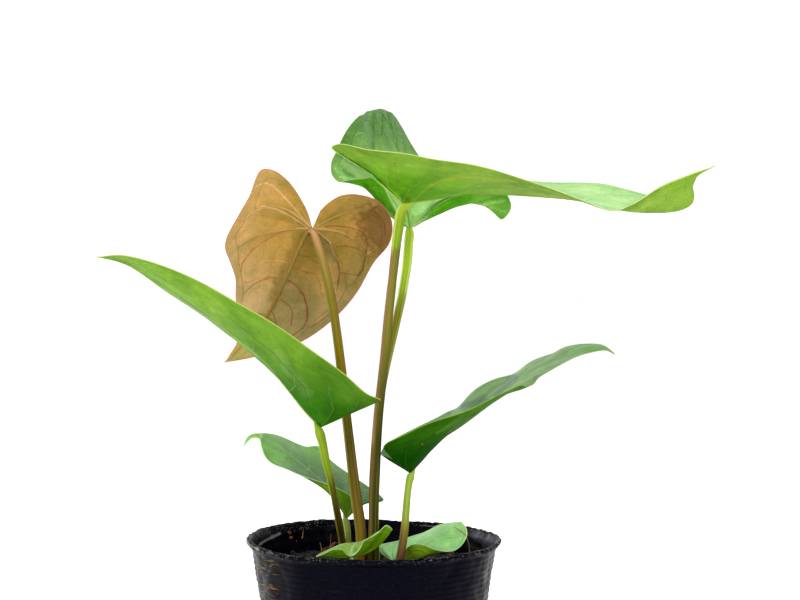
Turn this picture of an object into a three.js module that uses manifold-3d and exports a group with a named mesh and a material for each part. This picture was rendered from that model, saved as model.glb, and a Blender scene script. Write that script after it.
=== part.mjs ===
// A young anthurium hybrid in a thin black nursery pot, in millimetres, +Z up.
// The origin is the centre of the pot's base, which stands on z = 0.
// -Y faces the viewer and +X is to the viewer's right.
import * as THREE from 'three';
import { mergeVertices } from 'three/addons/utils/BufferGeometryUtils.js';
import Module from 'manifold-3d';

const wasm = await Module();
wasm.setup();

// Clearance between pieces that touch on the real plant
const gap = 0.3;

// Pot: a soft film pot, 105 mm across its lip
const potHeight = 90;
const lipRadius = 52.5;
const lipDepth = 3;
const bodyTopRadius = 50.7;
const baseRadius = 37.5;
const footRound = 2;
const wall = 1;
const floorThickness = 1.4;
const potSides = 56;
const wallSteps = 5;
const lipWave = 0.7;
const lipDip = 0.5;
// The back left of the lip stands a little higher
const lipRise = 1.3;
const lipRiseAt = (150 * Math.PI) / 180;
const waveStart = 58;
const drainRadius = 3.2;
const drainRing = 24;
const drainCount = 6;

// Potting mix: level below the lip, with a mound round the back stems
const mixLevel = 78;
const moundHeight = 7.5;
const moundSpread = 13;
const moundCentre = [-13, 8];
const crumbHeight = 0.7;
const mixRings = 7;
const mixSides = 32;

// Crown: the buried short stem that every stalk grows from, with its roots
const crownCentre = [-1, -6];
const crownTop = 62;
const crownBottom = 38;
const crownRadius = 4.5;
const crownSides = 12;
const rootCount = 6;
const rootStartRadius = 1.5;
const rootEndRadius = 0.8;
const rootReach = 24;
const rootFloor = 12;
const rootSides = 6;
const rootSteps = 7;

// Blades: thickness, the ridge of the midrib below them, and how far their rows bow to the stalk
const bladeThickness = 0.7;
const ridgeHeight = 0.5;
const rowBow = 0.07;

// Stalks: faces round them, and how narrow they get where they meet the blade
const stalkSides = 9;
const neckShare = 0.6;

// Leaves. A stalk is a list of [x, y, z, radius] from below the blade down to the crown. A rib runs
// from the stalk to the tip. Each margin runs from the sinus round the lobe to the tip, as
// [x, y, z, arch], where arch is how far the blade stands off the straight line from rib to margin,
// along face, at mid width. basal is the share of the margin whose veins start at the stalk.
const leaves = {
  high_right: {
    color: 0x6eaa32,
    face: [0, -0.25, 1],
    rows: 26,
    columns: 5,
    wave: [0.4, 3],
    stalk: [
      [11.4, 1.9, 226.2, 1.9], [10.4, 1, 220.3, 2], [9.5, 0.5, 213.7, 1.8], [7.7, -0.5, 197.6, 1.6],
      [5.8, -1.5, 180, 1.7], [4.4, -2.5, 165, 1.7], [1.7, -4, 139.6, 1.8], [0.4, -5.5, 117.4, 2],
      [-0.1, -6.5, 98.6, 1.8], [-0.1, -7, 87, 2.1], [-0.4, -6.8, 74, 2.2], [-0.6, -6.4, 62.8, 2.1],
    ],
    rib: [
      [12, 2, 229.1], [25.3, 1, 230.9], [38.4, 0, 233.1], [52, 0, 232.8], [66.4, -1, 231.9],
      [80.7, -2, 230.6], [95, -4, 228], [109, -5, 225.6], [119.5, -6, 225.2], [126.5, -6, 226.4],
      [130.4, -5.5, 228.8], [131.2, -5, 232], [130.7, -4, 236.8], [133, -4, 240.4], [140, -4, 244.1],
    ],
    near: [
      [0, -16, 240.1, -1], [-9.9, -26, 245.5, 1.5], [-16.3, -32, 250.1, 1.7], [-12.8, -37, 251.6, 1],
      [-1.7, -41, 249.6, -1], [12, -43, 248.1, -2], [24.5, -43, 245.3, -2], [41.7, -42, 242.5, -2],
      [56.8, -39, 238.7, -1], [71, -35, 234.4, 0], [83.8, -31, 229.4, 0], [95.3, -27, 225, 0],
      [104.2, -23, 228, -2], [116, -18, 235.7, -3], [128.5, -10, 240.8, -1], [140, -4, 244.1, 0],
    ],
    far: [
      [-0.9, 13, 243, -1], [-9, 17, 248.1, -1], [-6, 22, 250.2, -1], [0.6, 25, 249.5, -1],
      [10.8, 29, 248, -2], [25.8, 34, 245.6, -2], [41, 37, 243, -2], [58.3, 37, 240.3, -1],
      [77.9, 35, 238.6, -1], [89.8, 33, 238.1, -1], [98.5, 30, 237.1, -1], [107, 26, 234.9, -1],
      [115.4, 21, 232.8, -1], [123.8, 13, 231.5, -1], [128.2, 5, 233.2, 0], [129.6, 0, 237.5, 0],
      [133.2, -2.5, 241, 0], [140, -4, 244.1, 0],
    ],
    basal: [0.33, 0.28],
  },
  high_back: {
    color: 0x4f9448,
    face: [0, -0.5, 0.87],
    rows: 24,
    columns: 6,
    wave: [0.5, 3],
    stalk: [
      [14.8, 35.6, 216.2, 1.8], [14.4, 33.3, 211, 1.8], [14, 31, 205, 1.9], [11.9, 26, 191.4, 1.7],
      [8.3, 21, 175, 1.6], [5.5, 17, 162.7, 1.5], [3, 13.5, 149.9, 1.5], [0.8, 8, 125.8, 1.5],
      [0.4, 2.5, 105.6, 1.5], [0.4, -1.2, 86, 1.6], [1.4, 0, 72, 1.7], [2.2, 0.6, 57, 1.7],
    ],
    rib: [
      [14.9, 36, 218.7], [13.4, 40, 228.7], [11.7, 48, 241.9], [8.6, 60, 256.5], [5.4, 74, 268.5],
      [4, 86, 272.3], [2.9, 99, 270], [2.3, 114, 261],
    ],
    near: [
      [4.8, 25, 234.2, -2.5], [0.2, 24, 239.8, -4.5], [-5.3, 24, 239.4, -4], [-11.3, 25, 238.9, 4.4],
      [-15.2, 27, 238.4, 5.9], [-18.3, 29, 241.7, 4.6], [-18.8, 32, 247, 4], [-17.2, 36, 250.9, 3],
      [-12.7, 46, 260.6, 2.5], [-7.8, 58, 268.2, 3], [-5.7, 68, 269.8, 4.6], [-3.5, 84, 271.2, 5.2],
      [-0.5, 101, 267.6, 1], [2.3, 114, 261, 0],
    ],
    far: [
      [24.9, 28, 226.8, -2.2], [31.3, 27, 230.8, -2.2], [37.2, 27, 232.8, 0], [47.1, 28, 234, -0.2],
      [54.9, 31, 235.2, 0.8], [58.3, 35, 230.7, 3.8], [58.8, 38, 227.3, 8], [57, 41, 223.7, 8.8],
      [54.9, 43, 222.1, 13.8], [50.1, 48, 227.3, 8.9], [41.5, 52, 232.8, 4], [30.7, 57, 240, 1.5],
      [21.9, 63, 247.6, 0.5], [16.2, 69, 255.4, 1], [11.3, 77, 264.6, 1], [8.1, 88, 270.2, 1.5],
      [5.7, 101, 267, 0], [2.3, 114, 261, 0],
    ],
    basal: [0.5, 0.56],
  },
  bronze: {
    color: 0xaa7d3c,
    face: [0.1, 0.93, 0.36],
    rows: 24,
    columns: 5,
    wave: [0.4, 4],
    stalk: [
      [-25.3, 10, 215.6, 1.1], [-22.7, 10.4, 209.1, 1.5], [-19.7, 9.4, 198, 1.8],
      [-17.4, 8, 187, 1.7], [-15.9, 7, 177.2, 1.7], [-13.6, 5, 159.6, 1.8], [-11.3, 2.5, 139, 1.8],
      [-9.5, 0, 124.2, 1.9], [-7.5, -2, 107.9, 2.1], [-5.2, -4, 91, 2.1], [-6.2, -5.4, 74, 2.1],
      [-8.3, -7.3, 57, 2],
    ],
    rib: [
      [-25.9, 12.6, 218.3], [-28, 13, 217.2], [-32.6, 16, 207.8], [-37.1, 20, 198.1],
      [-44, 26, 184.5], [-48.6, 30, 177.5], [-56.3, 35, 169.4], [-65.1, 39, 160.5],
    ],
    near: [
      [-28.5, 10, 227, 0], [-32.1, 8, 233.2, 0], [-36.5, 7, 239, 0], [-41.6, 6, 242.7, 0],
      [-46.9, 7, 242.9, 0], [-52.4, 11, 231.6, 0], [-56.5, 14, 225, 1], [-62.6, 18, 214, 1],
      [-63.2, 20, 209.5, 1], [-61.5, 22, 204.5, 1], [-59.2, 25, 197, 1], [-59.5, 29, 188.4, 1],
      [-58.9, 33, 179.2, 1], [-59.7, 36, 169.4, 0], [-62.5, 38, 164.7, 0], [-65.1, 39, 160.5, 0],
    ],
    far: [
      [-22.6, 11, 225.8, 0], [-18.8, 9.5, 229.3, 0], [-13.7, 9, 232.2, 0], [-7, 9.5, 232.8, 0],
      [1.6, 12, 230, 1], [7.2, 16, 222, 1], [6.6, 20, 212.8, 1], [-0.4, 24, 203.9, 1],
      [-7.4, 29, 191.4, 1], [-15.1, 33, 182.2, 1], [-25.5, 37, 173.4, 1], [-32.5, 38.5, 169.1, 0],
      [-43.4, 39.5, 165.2, 0], [-53, 39.5, 162.8, 0], [-60, 39.5, 161.3, 0], [-65.1, 39, 160.5, 0],
    ],
    basal: [0.46, 0.46],
  },
  left: {
    color: 0x64b432,
    face: [0.25, 0.45, 0.86],
    rows: 22,
    columns: 5,
    wave: [0.3, 3],
    stalk: [
      [-21.7, -9.9, 135.8, 1.7], [-21.1, -9.4, 131.5, 1.6], [-19.6, -8, 123.1, 1.5],
      [-17.7, -5, 114.5, 1.35], [-16.5, -3, 108, 1.2], [-14.5, 1, 96.2, 1.4], [-13.2, 5, 87, 1.3],
      [-10.4, 1.6, 72, 1.5], [-7.6, -2.3, 57, 1.6],
    ],
    rib: [
      [-21.6, -10, 137.3], [-27.6, -11, 143.6], [-33.6, -13, 151.5], [-45, -18, 165.9],
      [-60.5, -25, 179.4], [-74.2, -31, 191.3], [-88.9, -37, 201.9], [-98, -42, 206.8],
      [-107.2, -46, 207.3],
    ],
    near: [
      [-18.1, -13.5, 141.2, 0], [-13.5, -18, 144.3, 0], [-6, -27, 147.9, 0], [3.2, -36, 150.8, 0],
      [-2.1, -42, 154, 0], [-10.8, -46, 161.7, -1], [-24.1, -50, 171.4, -2],
      [-38.5, -54, 182.4, -2], [-52.5, -57, 190.6, -2], [-68.6, -57, 199.1, -2],
      [-86.8, -53, 206.3, -1], [-97.7, -49, 208.4, 0], [-107.2, -46, 207.3, 0],
    ],
    far: [
      [-19.7, -3, 142, 0], [-17.6, 4, 145.5, 0], [-18.2, 11, 149.9, 0], [-23.9, 17, 155.3, 0],
      [-31.6, 19, 160.7, 0], [-40, 19, 162.4, 0], [-50.6, 16, 165.1, 1], [-60.6, 12, 173.4, 1],
      [-70.4, 6, 181.9, 1], [-84.7, -8, 192.3, 1], [-97.3, -30, 204, 0], [-107.2, -46, 207.3, 0],
    ],
    basal: [0.3, 0.25],
  },
  low_left: {
    color: 0x5aa050,
    face: [0.2, -0.45, 0.87],
    rows: 20,
    columns: 5,
    wave: [0.3, 4],
    stalk: [
      [-11.7, 11.9, 94.2, 1.3], [-11.3, 11, 90.5, 1.3], [-11, 9.8, 84.5, 1.2], [-8, 5.4, 72, 1.4],
      [-4.4, 0.9, 57, 1.5],
    ],
    rib: [
      [-11.7, 12, 96.4], [-14, 12, 101.3], [-16.6, 13, 106.2], [-20.9, 15, 110.6],
      [-28.2, 18, 116.2], [-37.2, 20, 123.2], [-44.5, 21, 128], [-50.4, 21, 130.9],
      [-54, 20.7, 129.6], [-55.5, 20, 126],
    ],
    near: [
      [-10, 9.5, 99.6, 0], [-9.3, 7.5, 103.7, 0], [-10.3, 6, 107.2, 0.3], [-15.9, 4.5, 110.6, 0.8],
      [-22.1, 4, 112.6, 1.2], [-29.2, 4, 115.4, 1.2], [-36.8, 6, 117.8, 0.8], [-41.6, 8, 119.6, 0.3],
      [-45.6, 11, 122.4, 0], [-47.8, 15, 126, 0], [-49, 18.5, 129.5, 0], [-52.3, 20, 129.6, 0],
      [-55.5, 20, 126, 0],
    ],
    far: [
      [-7.8, 15, 100.4, 0], [-5.1, 19, 101.8, 1], [-1.1, 23, 101.6, 2.5], [3.8, 27, 102.4, 3.5],
      [-2.4, 32, 106.6, 2], [-12.6, 36, 113.5, 0], [-19.6, 38, 118, 0], [-24.8, 39, 123.8, 0],
      [-30, 38, 124.1, 0], [-37.3, 36, 127, 0], [-44.6, 29, 130.3, 0], [-49, 23.5, 131.4, 0],
      [-53.2, 21.3, 130.4, 0], [-55.5, 20, 126, 0],
    ],
    basal: [0.34, 0.34],
  },
  right: {
    color: 0x468c32,
    face: [-0.2, -0.2, 0.96],
    rows: 22,
    columns: 5,
    wave: [0.4, 4],
    stalk: [
      [14.6, -10.2, 116.2, 1.4], [14.1, -12, 112.1, 1.3], [13.2, -15, 102.7, 1.4],
      [12.7, -17, 96.5, 1.5], [11, -19.6, 86, 1.6], [7.5, -15.8, 72, 1.7], [3.8, -11.6, 57, 1.7],
    ],
    rib: [
      [14.7, -10, 118.6], [17.4, -10, 121.2], [21, -9, 125], [26.8, -8, 131.6], [35.1, -6, 136.9],
      [44.6, -3, 143.6], [56.7, 0, 153], [66.4, 2, 159.4], [79.4, 4, 165.6], [89.9, 5, 168.8],
      [95.4, 5.5, 168.8], [100.2, 6, 166.2],
    ],
    near: [
      [10, -15, 122.7, 0], [6.4, -20, 126.6, 0], [4.2, -25, 130.6, 0], [5.8, -28, 133.1, 0],
      [9.6, -31, 135.5, -1], [18.7, -33, 139.7, -2], [32.7, -32, 144.4, -2], [47.2, -28, 150.6, -1],
      [55.3, -25, 153.7, 0], [59.7, -22, 155.3, 0], [61.4, -20.5, 154.9, 0], [64.2, -20, 155.5, 0],
      [67, -18, 158.6, 0],
      [78.2, -10, 163.5, 0], [90.3, 1, 167.6, 0], [96.5, 4.8, 168, 0], [100.2, 6, 166.2, 0],
    ],
    far: [
      [10, -4, 122.2, 0], [5.8, 1, 123.4, 0], [2.9, 5, 124.2, 0], [3.4, 10.5, 126.2, 0],
      [4.6, 14.5, 128, 0], [9.5, 18, 130, 0], [16.8, 21, 133, 0], [25.5, 23.5, 137.4, 0],
      [31, 24.5, 140.6, 0], [35, 25, 142.2, 0],
      [42, 26, 148.6, 0], [50.5, 26.5, 153.6, 0], [56, 26.5, 155.6, 0], [59, 26, 156.6, 0],
      [66.4, 24, 161.8, 0], [72.5, 22.5, 164, 0], [75.6, 21.5, 165, 0], [80.8, 18.5, 168.2, 0],
      [87.9, 15, 170.2, 0],
      [95.6, 9.5, 169.8, 0], [100.2, 6, 166.2, 0],
    ],
    basal: [0.27, 0.27],
  },
  small_front: {
    color: 0x78be3c,
    face: [0, -0.4, 0.92],
    rows: 14,
    columns: 4,
    wave: [0.2, 3],
    stalk: [
      [-8.5, -26.1, 85, 1.1], [-8, -24, 82, 1.1], [-6.4, -19.5, 72, 1.3], [-3.6, -13, 57, 1.5],
    ],
    rib: [[-8.7, -27, 87.3], [-8.6, -23, 88.7], [-7.9, -18, 89.8], [-6.7, -14, 90.2], [-5.2, -10.4, 89.8]],
    near: [
      [-12.3, -31, 90.6, -1], [-15.9, -32, 90.5, -1.5], [-20, -30, 88.6, -2], [-22.9, -26, 86.7, -1],
      [-17.9, -20, 88.8, -1], [-12.4, -16, 90.1, 0], [-8.4, -12.6, 90.2, 0], [-5.2, -10.4, 89.8, 0],
    ],
    far: [
      [-3.7, -31, 93.7, -1.5], [1.7, -30, 96.9, -3], [5.1, -27, 99.4, -4], [7.7, -23, 97.2, -4],
      [4.7, -18, 96, -2], [1, -15, 94.5, -1], [-2.6, -12, 91.6, 0], [-5.2, -10.4, 89.8, 0],
    ],
    basal: [0.5, 0.55],
  },
  small_right: {
    color: 0x5fa55f,
    face: [0, -0.4, 0.92],
    rows: 14,
    columns: 4,
    wave: [0.2, 3],
    stalk: [[7.3, -3.3, 78.9, 1.1], [6.8, -3.5, 74, 1.2], [6.2, -3.5, 64, 1.4], [6.1, -3.5, 58, 1.5]],
    rib: [[7.5, -3, 81.2], [14.9, -4, 85.3], [21.9, -5, 89.1], [27.3, -6, 92.7], [31, -7, 95.5], [36.3, -8, 97.9]],
    near: [
      [10, -8, 81.8, -0.5], [12, -12, 84.6, -1.5], [14.1, -15, 89, -3], [16.9, -17, 90.5, -4],
      [20.9, -19, 90.1, -4], [24.6, -20, 88.8, -3], [29.4, -20, 88, -1], [33.1, -19, 88.2, 0],
      [36, -17, 89.9, 0], [38.2, -13, 93.4, 0], [37.9, -10, 96.2, 0], [36.3, -8, 97.9, 0],
    ],
    far: [
      [4.6, 1, 81.8, 0], [2.4, 4, 83.6, 0], [2.2, 6.5, 86, 0], [5.8, 9, 86.7, 0],
      [10, 10, 87.2, 0], [15, 10, 88.9, 0], [21.7, 8, 91.7, 0], [28.1, 3, 95.3, 0],
      [32.8, -3, 97.2, 0], [36.3, -8, 97.9, 0],
    ],
    basal: [0.35, 0.35],
  },
};

const vector = ([x, y, z]) => new THREE.Vector3(x, y, z);

function smoothRamp(value, from, to) {
  const t = Math.min(1, Math.max(0, (value - from) / (to - from)));
  return t * t * (3 - 2 * t);
}

// A smooth curve through the points, with each point's fourth number blended along it
function track(points) {
  const curve = new THREE.CatmullRomCurve3(points.map(vector));
  const last = points.length - 1;
  return {
    at: (u) => curve.getPointAt(u),
    along: (u) => curve.getTangentAt(u),
    extra: (u) => {
      const place = curve.getUtoTmapping(u) * last;
      const index = Math.min(last - 1, Math.floor(place));
      return THREE.MathUtils.lerp(points[index][3], points[index + 1][3], place - index);
    },
  };
}

// One closed geometry from a list of points and a list of triangles
function closedGeometry(points, triangles) {
  const geometry = new THREE.BufferGeometry();
  geometry.setAttribute('position', new THREE.Float32BufferAttribute(points.flatMap((p) => p.toArray()), 3));
  geometry.setIndex(triangles.flat());
  return geometry;
}

// A library shape with its shared corners merged
function welded(geometry) {
  geometry.deleteAttribute('normal');
  geometry.deleteAttribute('uv');
  return mergeVertices(geometry, 1e-4);
}

function toSolid(geometry) {
  return new wasm.Manifold(new wasm.Mesh({
    numProp: 3,
    vertProperties: new Float32Array(geometry.attributes.position.array),
    triVerts: new Uint32Array(geometry.index.array),
  }));
}

function fromSolid(solid) {
  const mesh = solid.getMesh();
  const geometry = new THREE.BufferGeometry();
  geometry.setAttribute('position', new THREE.Float32BufferAttribute(mesh.vertProperties, 3));
  geometry.setIndex(Array.from(mesh.triVerts));
  return geometry;
}

// A round tube of changing radius along [x, y, z, radius] points, grown all round by extra
function tube(points, sides, steps, extra = 0) {
  const path = track(points);
  const geometry = welded(new THREE.CylinderGeometry(1, 1, 1, sides, steps));
  const place = geometry.attributes.position;
  const across = new THREE.Vector3(1, 0, 0);
  for (let i = 0; i < place.count; i += 1) {
    const u = 0.5 - place.getY(i);
    const forward = path.along(u);
    const side = across.clone().addScaledVector(forward, -across.dot(forward)).normalize();
    const up = new THREE.Vector3().crossVectors(forward, side);
    const radius = path.extra(u) + extra;
    const point = path.at(u);
    point.addScaledVector(side, place.getX(i) * radius);
    point.addScaledVector(up, place.getZ(i) * radius);
    point.addScaledVector(forward, extra * (2 * u - 1));
    place.setXYZ(i, point.x, point.y, point.z);
  }
  return geometry;
}

// The mid surface of a blade: rows of points from the rib out to the margin on both sides
function bladeSheet({ face, rows, columns, wave, rib, near, far, basal }) {
  const up = vector(face).normalize();
  const ribCurve = track(rib);
  const fan = Math.round(rows * 0.4);
  const points = [ribCurve.at(0)];
  const triangles = [];
  const ribIndex = [0];
  for (let k = 1; k <= rows - fan; k += 1) {
    ribIndex.push(points.length);
    points.push(ribCurve.at(k / (rows - fan)));
  }
  const tip = ribIndex.at(-1);
  const borders = [near, far].map((margin, side) => {
    const marginCurve = track(margin);
    const share = basal[side];
    const grid = [];
    for (let i = 0; i < rows; i += 1) {
      const k = Math.max(0, i - fan);
      const u = i < fan ? (share * i) / fan : share + ((1 - share) * k) / (rows - fan);
      const start = points[ribIndex[k]];
      const end = marginCurve.at(u);
      const width = start.distanceTo(end);
      const forward = ribCurve.along(k / (rows - fan));
      const sweep = rowBow * width * smoothRamp(i, fan, fan + 3);
      const row = [ribIndex[k]];
      for (let j = 1; j <= columns; j += 1) {
        const r = j / columns;
        const hump = 4 * r * (1 - r);
        const ripple = wave[0] * r * r * Math.sin(2 * Math.PI * wave[1] * u + side);
        const point = start.clone().lerp(end, r);
        point.addScaledVector(up, hump * marginCurve.extra(u) + ripple);
        point.addScaledVector(forward, -hump * sweep);
        row.push(points.length);
        points.push(point);
      }
      grid.push(row);
    }
    grid.push(new Array(columns + 1).fill(tip));
    for (let i = 0; i < rows; i += 1) {
      for (let j = 0; j < columns; j += 1) {
        const corners = [grid[i][j], grid[i + 1][j], grid[i + 1][j + 1], grid[i][j + 1]];
        const halves = [[corners[0], corners[1], corners[2]], [corners[0], corners[2], corners[3]]];
        for (const [a, b, c] of halves) {
          if (a === b || b === c || a === c) continue;
          triangles.push(side === 0 ? [a, b, c] : [a, c, b]);
        }
      }
    }
    return [...grid[0].slice(1), ...grid.slice(1, -1).map((row) => row[columns])];
  });
  const border = [0, ...borders[0], tip, ...borders[1].reverse()];
  return { points, triangles, border, ribIndex };
}

// A blade's solid: the sheet given thickness along its own normals, with the rib standing out below
function bladeGeometry(leaf) {
  const { points, triangles, border, ribIndex } = bladeSheet(leaf);
  const normals = points.map(() => new THREE.Vector3());
  for (const triangle of triangles) {
    const [a, b, c] = triangle.map((index) => points[index]);
    const normal = b.clone().sub(a).cross(c.clone().sub(a));
    for (const index of triangle) normals[index].add(normal);
  }
  normals.forEach((normal) => normal.normalize());
  const half = bladeThickness / 2;
  const upper = points.map((point, i) => point.clone().addScaledVector(normals[i], half));
  const lower = points.map((point, i) => point.clone().addScaledVector(normals[i], -half));
  ribIndex.forEach((index, k) => {
    const ridge = ridgeHeight * (1 - k / (ribIndex.length - 1));
    lower[index].addScaledVector(normals[index], -ridge);
  });
  const count = points.length;
  const faces = triangles.map(([a, b, c]) => [a, b, c]);
  faces.push(...triangles.map(([a, b, c]) => [c + count, b + count, a + count]));
  border.forEach((a, i) => {
    const b = border[(i + 1) % border.length];
    faces.push([a, b, b + count], [a, b + count, a + count]);
  });
  return closedGeometry([...upper, ...lower], faces);
}

// The pot's film: outer wall, rolled lip, inner wall and floor turned round, then crumpled near the lip
function potGeometry() {
  const slope = (bodyTopRadius - baseRadius) / (potHeight - lipDepth);
  const outer = (z) => baseRadius + slope * z;
  const profile = [new THREE.Vector2(0, 0), new THREE.Vector2(baseRadius - footRound, 0)];
  for (let i = 0; i <= wallSteps; i += 1) {
    const z = footRound + ((potHeight - lipDepth - footRound) * i) / wallSteps;
    profile.push(new THREE.Vector2(outer(z), z));
  }
  profile.push(new THREE.Vector2(lipRadius - 0.3, potHeight - lipDepth + 0.6));
  profile.push(new THREE.Vector2(lipRadius, potHeight - 1));
  profile.push(new THREE.Vector2(lipRadius - 0.5, potHeight));
  profile.push(new THREE.Vector2(lipRadius - 1.5, potHeight));
  for (let i = wallSteps; i >= 0; i -= 1) {
    const z = footRound + ((potHeight - lipDepth - footRound) * i) / wallSteps;
    profile.push(new THREE.Vector2(outer(z) - wall, z));
  }
  profile.push(new THREE.Vector2(baseRadius - footRound - 0.4, floorThickness));
  profile.push(new THREE.Vector2(0, floorThickness));
  const geometry = new THREE.LatheGeometry(profile, potSides);
  geometry.rotateX(Math.PI / 2);
  const merged = welded(geometry);
  const place = merged.attributes.position;
  for (let i = 0; i < place.count; i += 1) {
    const [x, y, z] = [place.getX(i), place.getY(i), place.getZ(i)];
    const crumple = lipCrumple(Math.atan2(y, x), z);
    const radius = Math.hypot(x, y);
    const scale = radius > 1 ? (radius + crumple.out) / radius : 1;
    place.setXYZ(i, x * scale, y * scale, z - crumple.down);
  }
  let solid = toSolid(merged);
  for (let k = 0; k < drainCount; k += 1) {
    const angle = (2 * Math.PI * (k + 0.5)) / drainCount;
    const drain = welded(new THREE.CylinderGeometry(drainRadius, drainRadius, 8, 12));
    drain.rotateX(Math.PI / 2);
    drain.translate(drainRing * Math.cos(angle), drainRing * Math.sin(angle), 0);
    solid = solid.subtract(toSolid(drain));
  }
  return fromSolid(solid);
}

// How far the soft wall is pushed out and down at an angle and height
function lipCrumple(angle, z) {
  const grow = smoothRamp(z, waveStart, potHeight);
  const out = lipWave * grow * (0.5 * Math.sin(3 * angle) + 0.5 * Math.sin(8 * angle));
  const down = lipDip * grow * (0.5 + 0.3 * Math.sin(5 * angle + 1) + 0.2 * Math.sin(11 * angle));
  const raised = lipRise * grow * Math.max(0, Math.cos(angle - lipRiseAt)) ** 2;
  return { out, down: down - raised };
}

// The potting mix: it fills the pot to a bumpy top, with a plain hole for each stalk and the crown
function mixGeometry(sockets) {
  const slope = (bodyTopRadius - baseRadius) / (potHeight - lipDepth);
  const sideAt = (z) => baseRadius + slope * z - wall - gap - 0.1;
  const bottom = floorThickness + gap;
  const points = [new THREE.Vector3(0, 0, bottom)];
  const triangles = [];
  const rings = [];
  const addRing = (radius, height) => {
    const ring = [];
    for (let s = 0; s < mixSides; s += 1) {
      const angle = (2 * Math.PI * s) / mixSides;
      const [x, y] = [radius * Math.cos(angle), radius * Math.sin(angle)];
      ring.push(points.length);
      points.push(new THREE.Vector3(x, y, height(x, y)));
    }
    rings.push(ring);
  };
  addRing(sideAt(bottom + footRound) - footRound, () => bottom);
  for (const share of [0.04, 0.5, 0.85]) {
    const z = bottom + (mixLevel - bottom) * share;
    addRing(sideAt(z) + Math.min(0, lipCrumple(0, z).out) - smoothRamp(z, waveStart, potHeight), () => z);
  }
  for (let k = mixRings; k >= 1; k -= 1) {
    addRing(((sideAt(mixLevel) - 0.6) * k) / mixRings, mixTop);
  }
  const centre = points.length;
  points.push(new THREE.Vector3(0, 0, mixTop(0, 0)));
  for (let s = 0; s < mixSides; s += 1) {
    const next = (s + 1) % mixSides;
    triangles.push([0, rings[0][next], rings[0][s]]);
    for (let k = 0; k + 1 < rings.length; k += 1) {
      const [a, b, c, d] = [rings[k][s], rings[k][next], rings[k + 1][next], rings[k + 1][s]];
      triangles.push([a, b, c], [a, c, d]);
    }
    triangles.push([centre, rings.at(-1)[s], rings.at(-1)[next]]);
  }
  let solid = toSolid(closedGeometry(points, triangles));
  for (const socket of sockets) solid = solid.subtract(socket);
  return fromSolid(solid);
}

// Height of the mix: level, a mound at the back left, and crumbs a few millimetres across
function mixTop(x, y) {
  const [mx, my] = moundCentre;
  const distance = Math.hypot(x - mx, y - my);
  const mound = moundHeight * Math.exp(-((distance / moundSpread) ** 2));
  const crumbs = Math.sin(0.9 * x + 0.4 * y) * Math.cos(0.8 * y - 0.3 * x) + 0.5 * Math.sin(1.7 * y + x);
  return mixLevel + mound + crumbHeight * crumbs * 0.6;
}

// The crown with its roots fused on, grown all round by extra
function crownSolid(extra = 0) {
  const [cx, cy] = crownCentre;
  const stem = [
    [cx, cy, crownTop + extra, crownRadius * 0.62], [cx, cy, crownTop - 2.5, crownRadius],
    [cx, cy, (crownTop + crownBottom) / 2, crownRadius * 0.94],
    [cx, cy, crownBottom + 3, crownRadius * 0.8], [cx, cy, crownBottom - extra, crownRadius * 0.5],
  ];
  let solid = toSolid(tube(stem, crownSides, 8, extra));
  for (let k = 0; k < rootCount; k += 1) {
    const angle = (2 * Math.PI * (k + 0.3)) / rootCount;
    const [dx, dy] = [Math.cos(angle), Math.sin(angle)];
    const start = crownBottom + 4 + 2 * (k % 3);
    const root = [
      [cx + dx, cy + dy, start, rootStartRadius],
      [cx + 0.4 * rootReach * dx, cy + 0.4 * rootReach * dy, start - 5, rootStartRadius],
      [cx + 0.75 * rootReach * dx - 3 * dy, cy + 0.75 * rootReach * dy + 3 * dx, start - 14, 1.2],
      [cx + rootReach * dx, cy + rootReach * dy, rootFloor + 2 * (k % 2), rootEndRadius],
    ];
    solid = solid.add(toSolid(tube(root, rootSides, rootSteps, extra)));
  }
  return solid;
}

// A stalk's track, from its neck close under the blade down to the crown
function stalkTrack({ face, rib, stalk }) {
  const up = vector(face).normalize();
  const radius = neckShare * stalk[0][3];
  const slant = vector(rib[0]).sub(vector(stalk[0])).normalize().cross(up).length();
  const neck = vector(rib[0]).addScaledVector(up, -(bladeThickness / 2 + ridgeHeight + gap + radius * slant));
  return [[neck.x, neck.y, neck.z, radius], ...stalk];
}

const group = new THREE.Group();

function addPiece(name, geometry, color, roughness) {
  const material = new THREE.MeshStandardMaterial({ color, roughness, metalness: 0 });
  const mesh = new THREE.Mesh(geometry, material);
  mesh.name = name;
  group.add(mesh);
}

const sockets = [crownSolid(gap)];
for (const [name, leaf] of Object.entries(leaves)) {
  const path = stalkTrack(leaf);
  const steps = Math.round(path.length * 1.6);
  addPiece(`stalk_${name}`, tube(path, stalkSides, steps), 0x7d8c28, 0.5);
  addPiece(`leaf_${name}`, bladeGeometry(leaf), leaf.color, 0.4);
  sockets.push(toSolid(tube(path, stalkSides, steps, gap)));
}
addPiece('crown', fromSolid(crownSolid()), 0x6b4a2a, 0.9);
addPiece('potting_mix', mixGeometry(sockets), 0x1d1410, 1);
addPiece('pot', potGeometry(), 0x06060f, 0.45);

export default group;
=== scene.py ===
import math
import random

import bpy
import numpy as np
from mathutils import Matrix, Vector, noise


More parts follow.
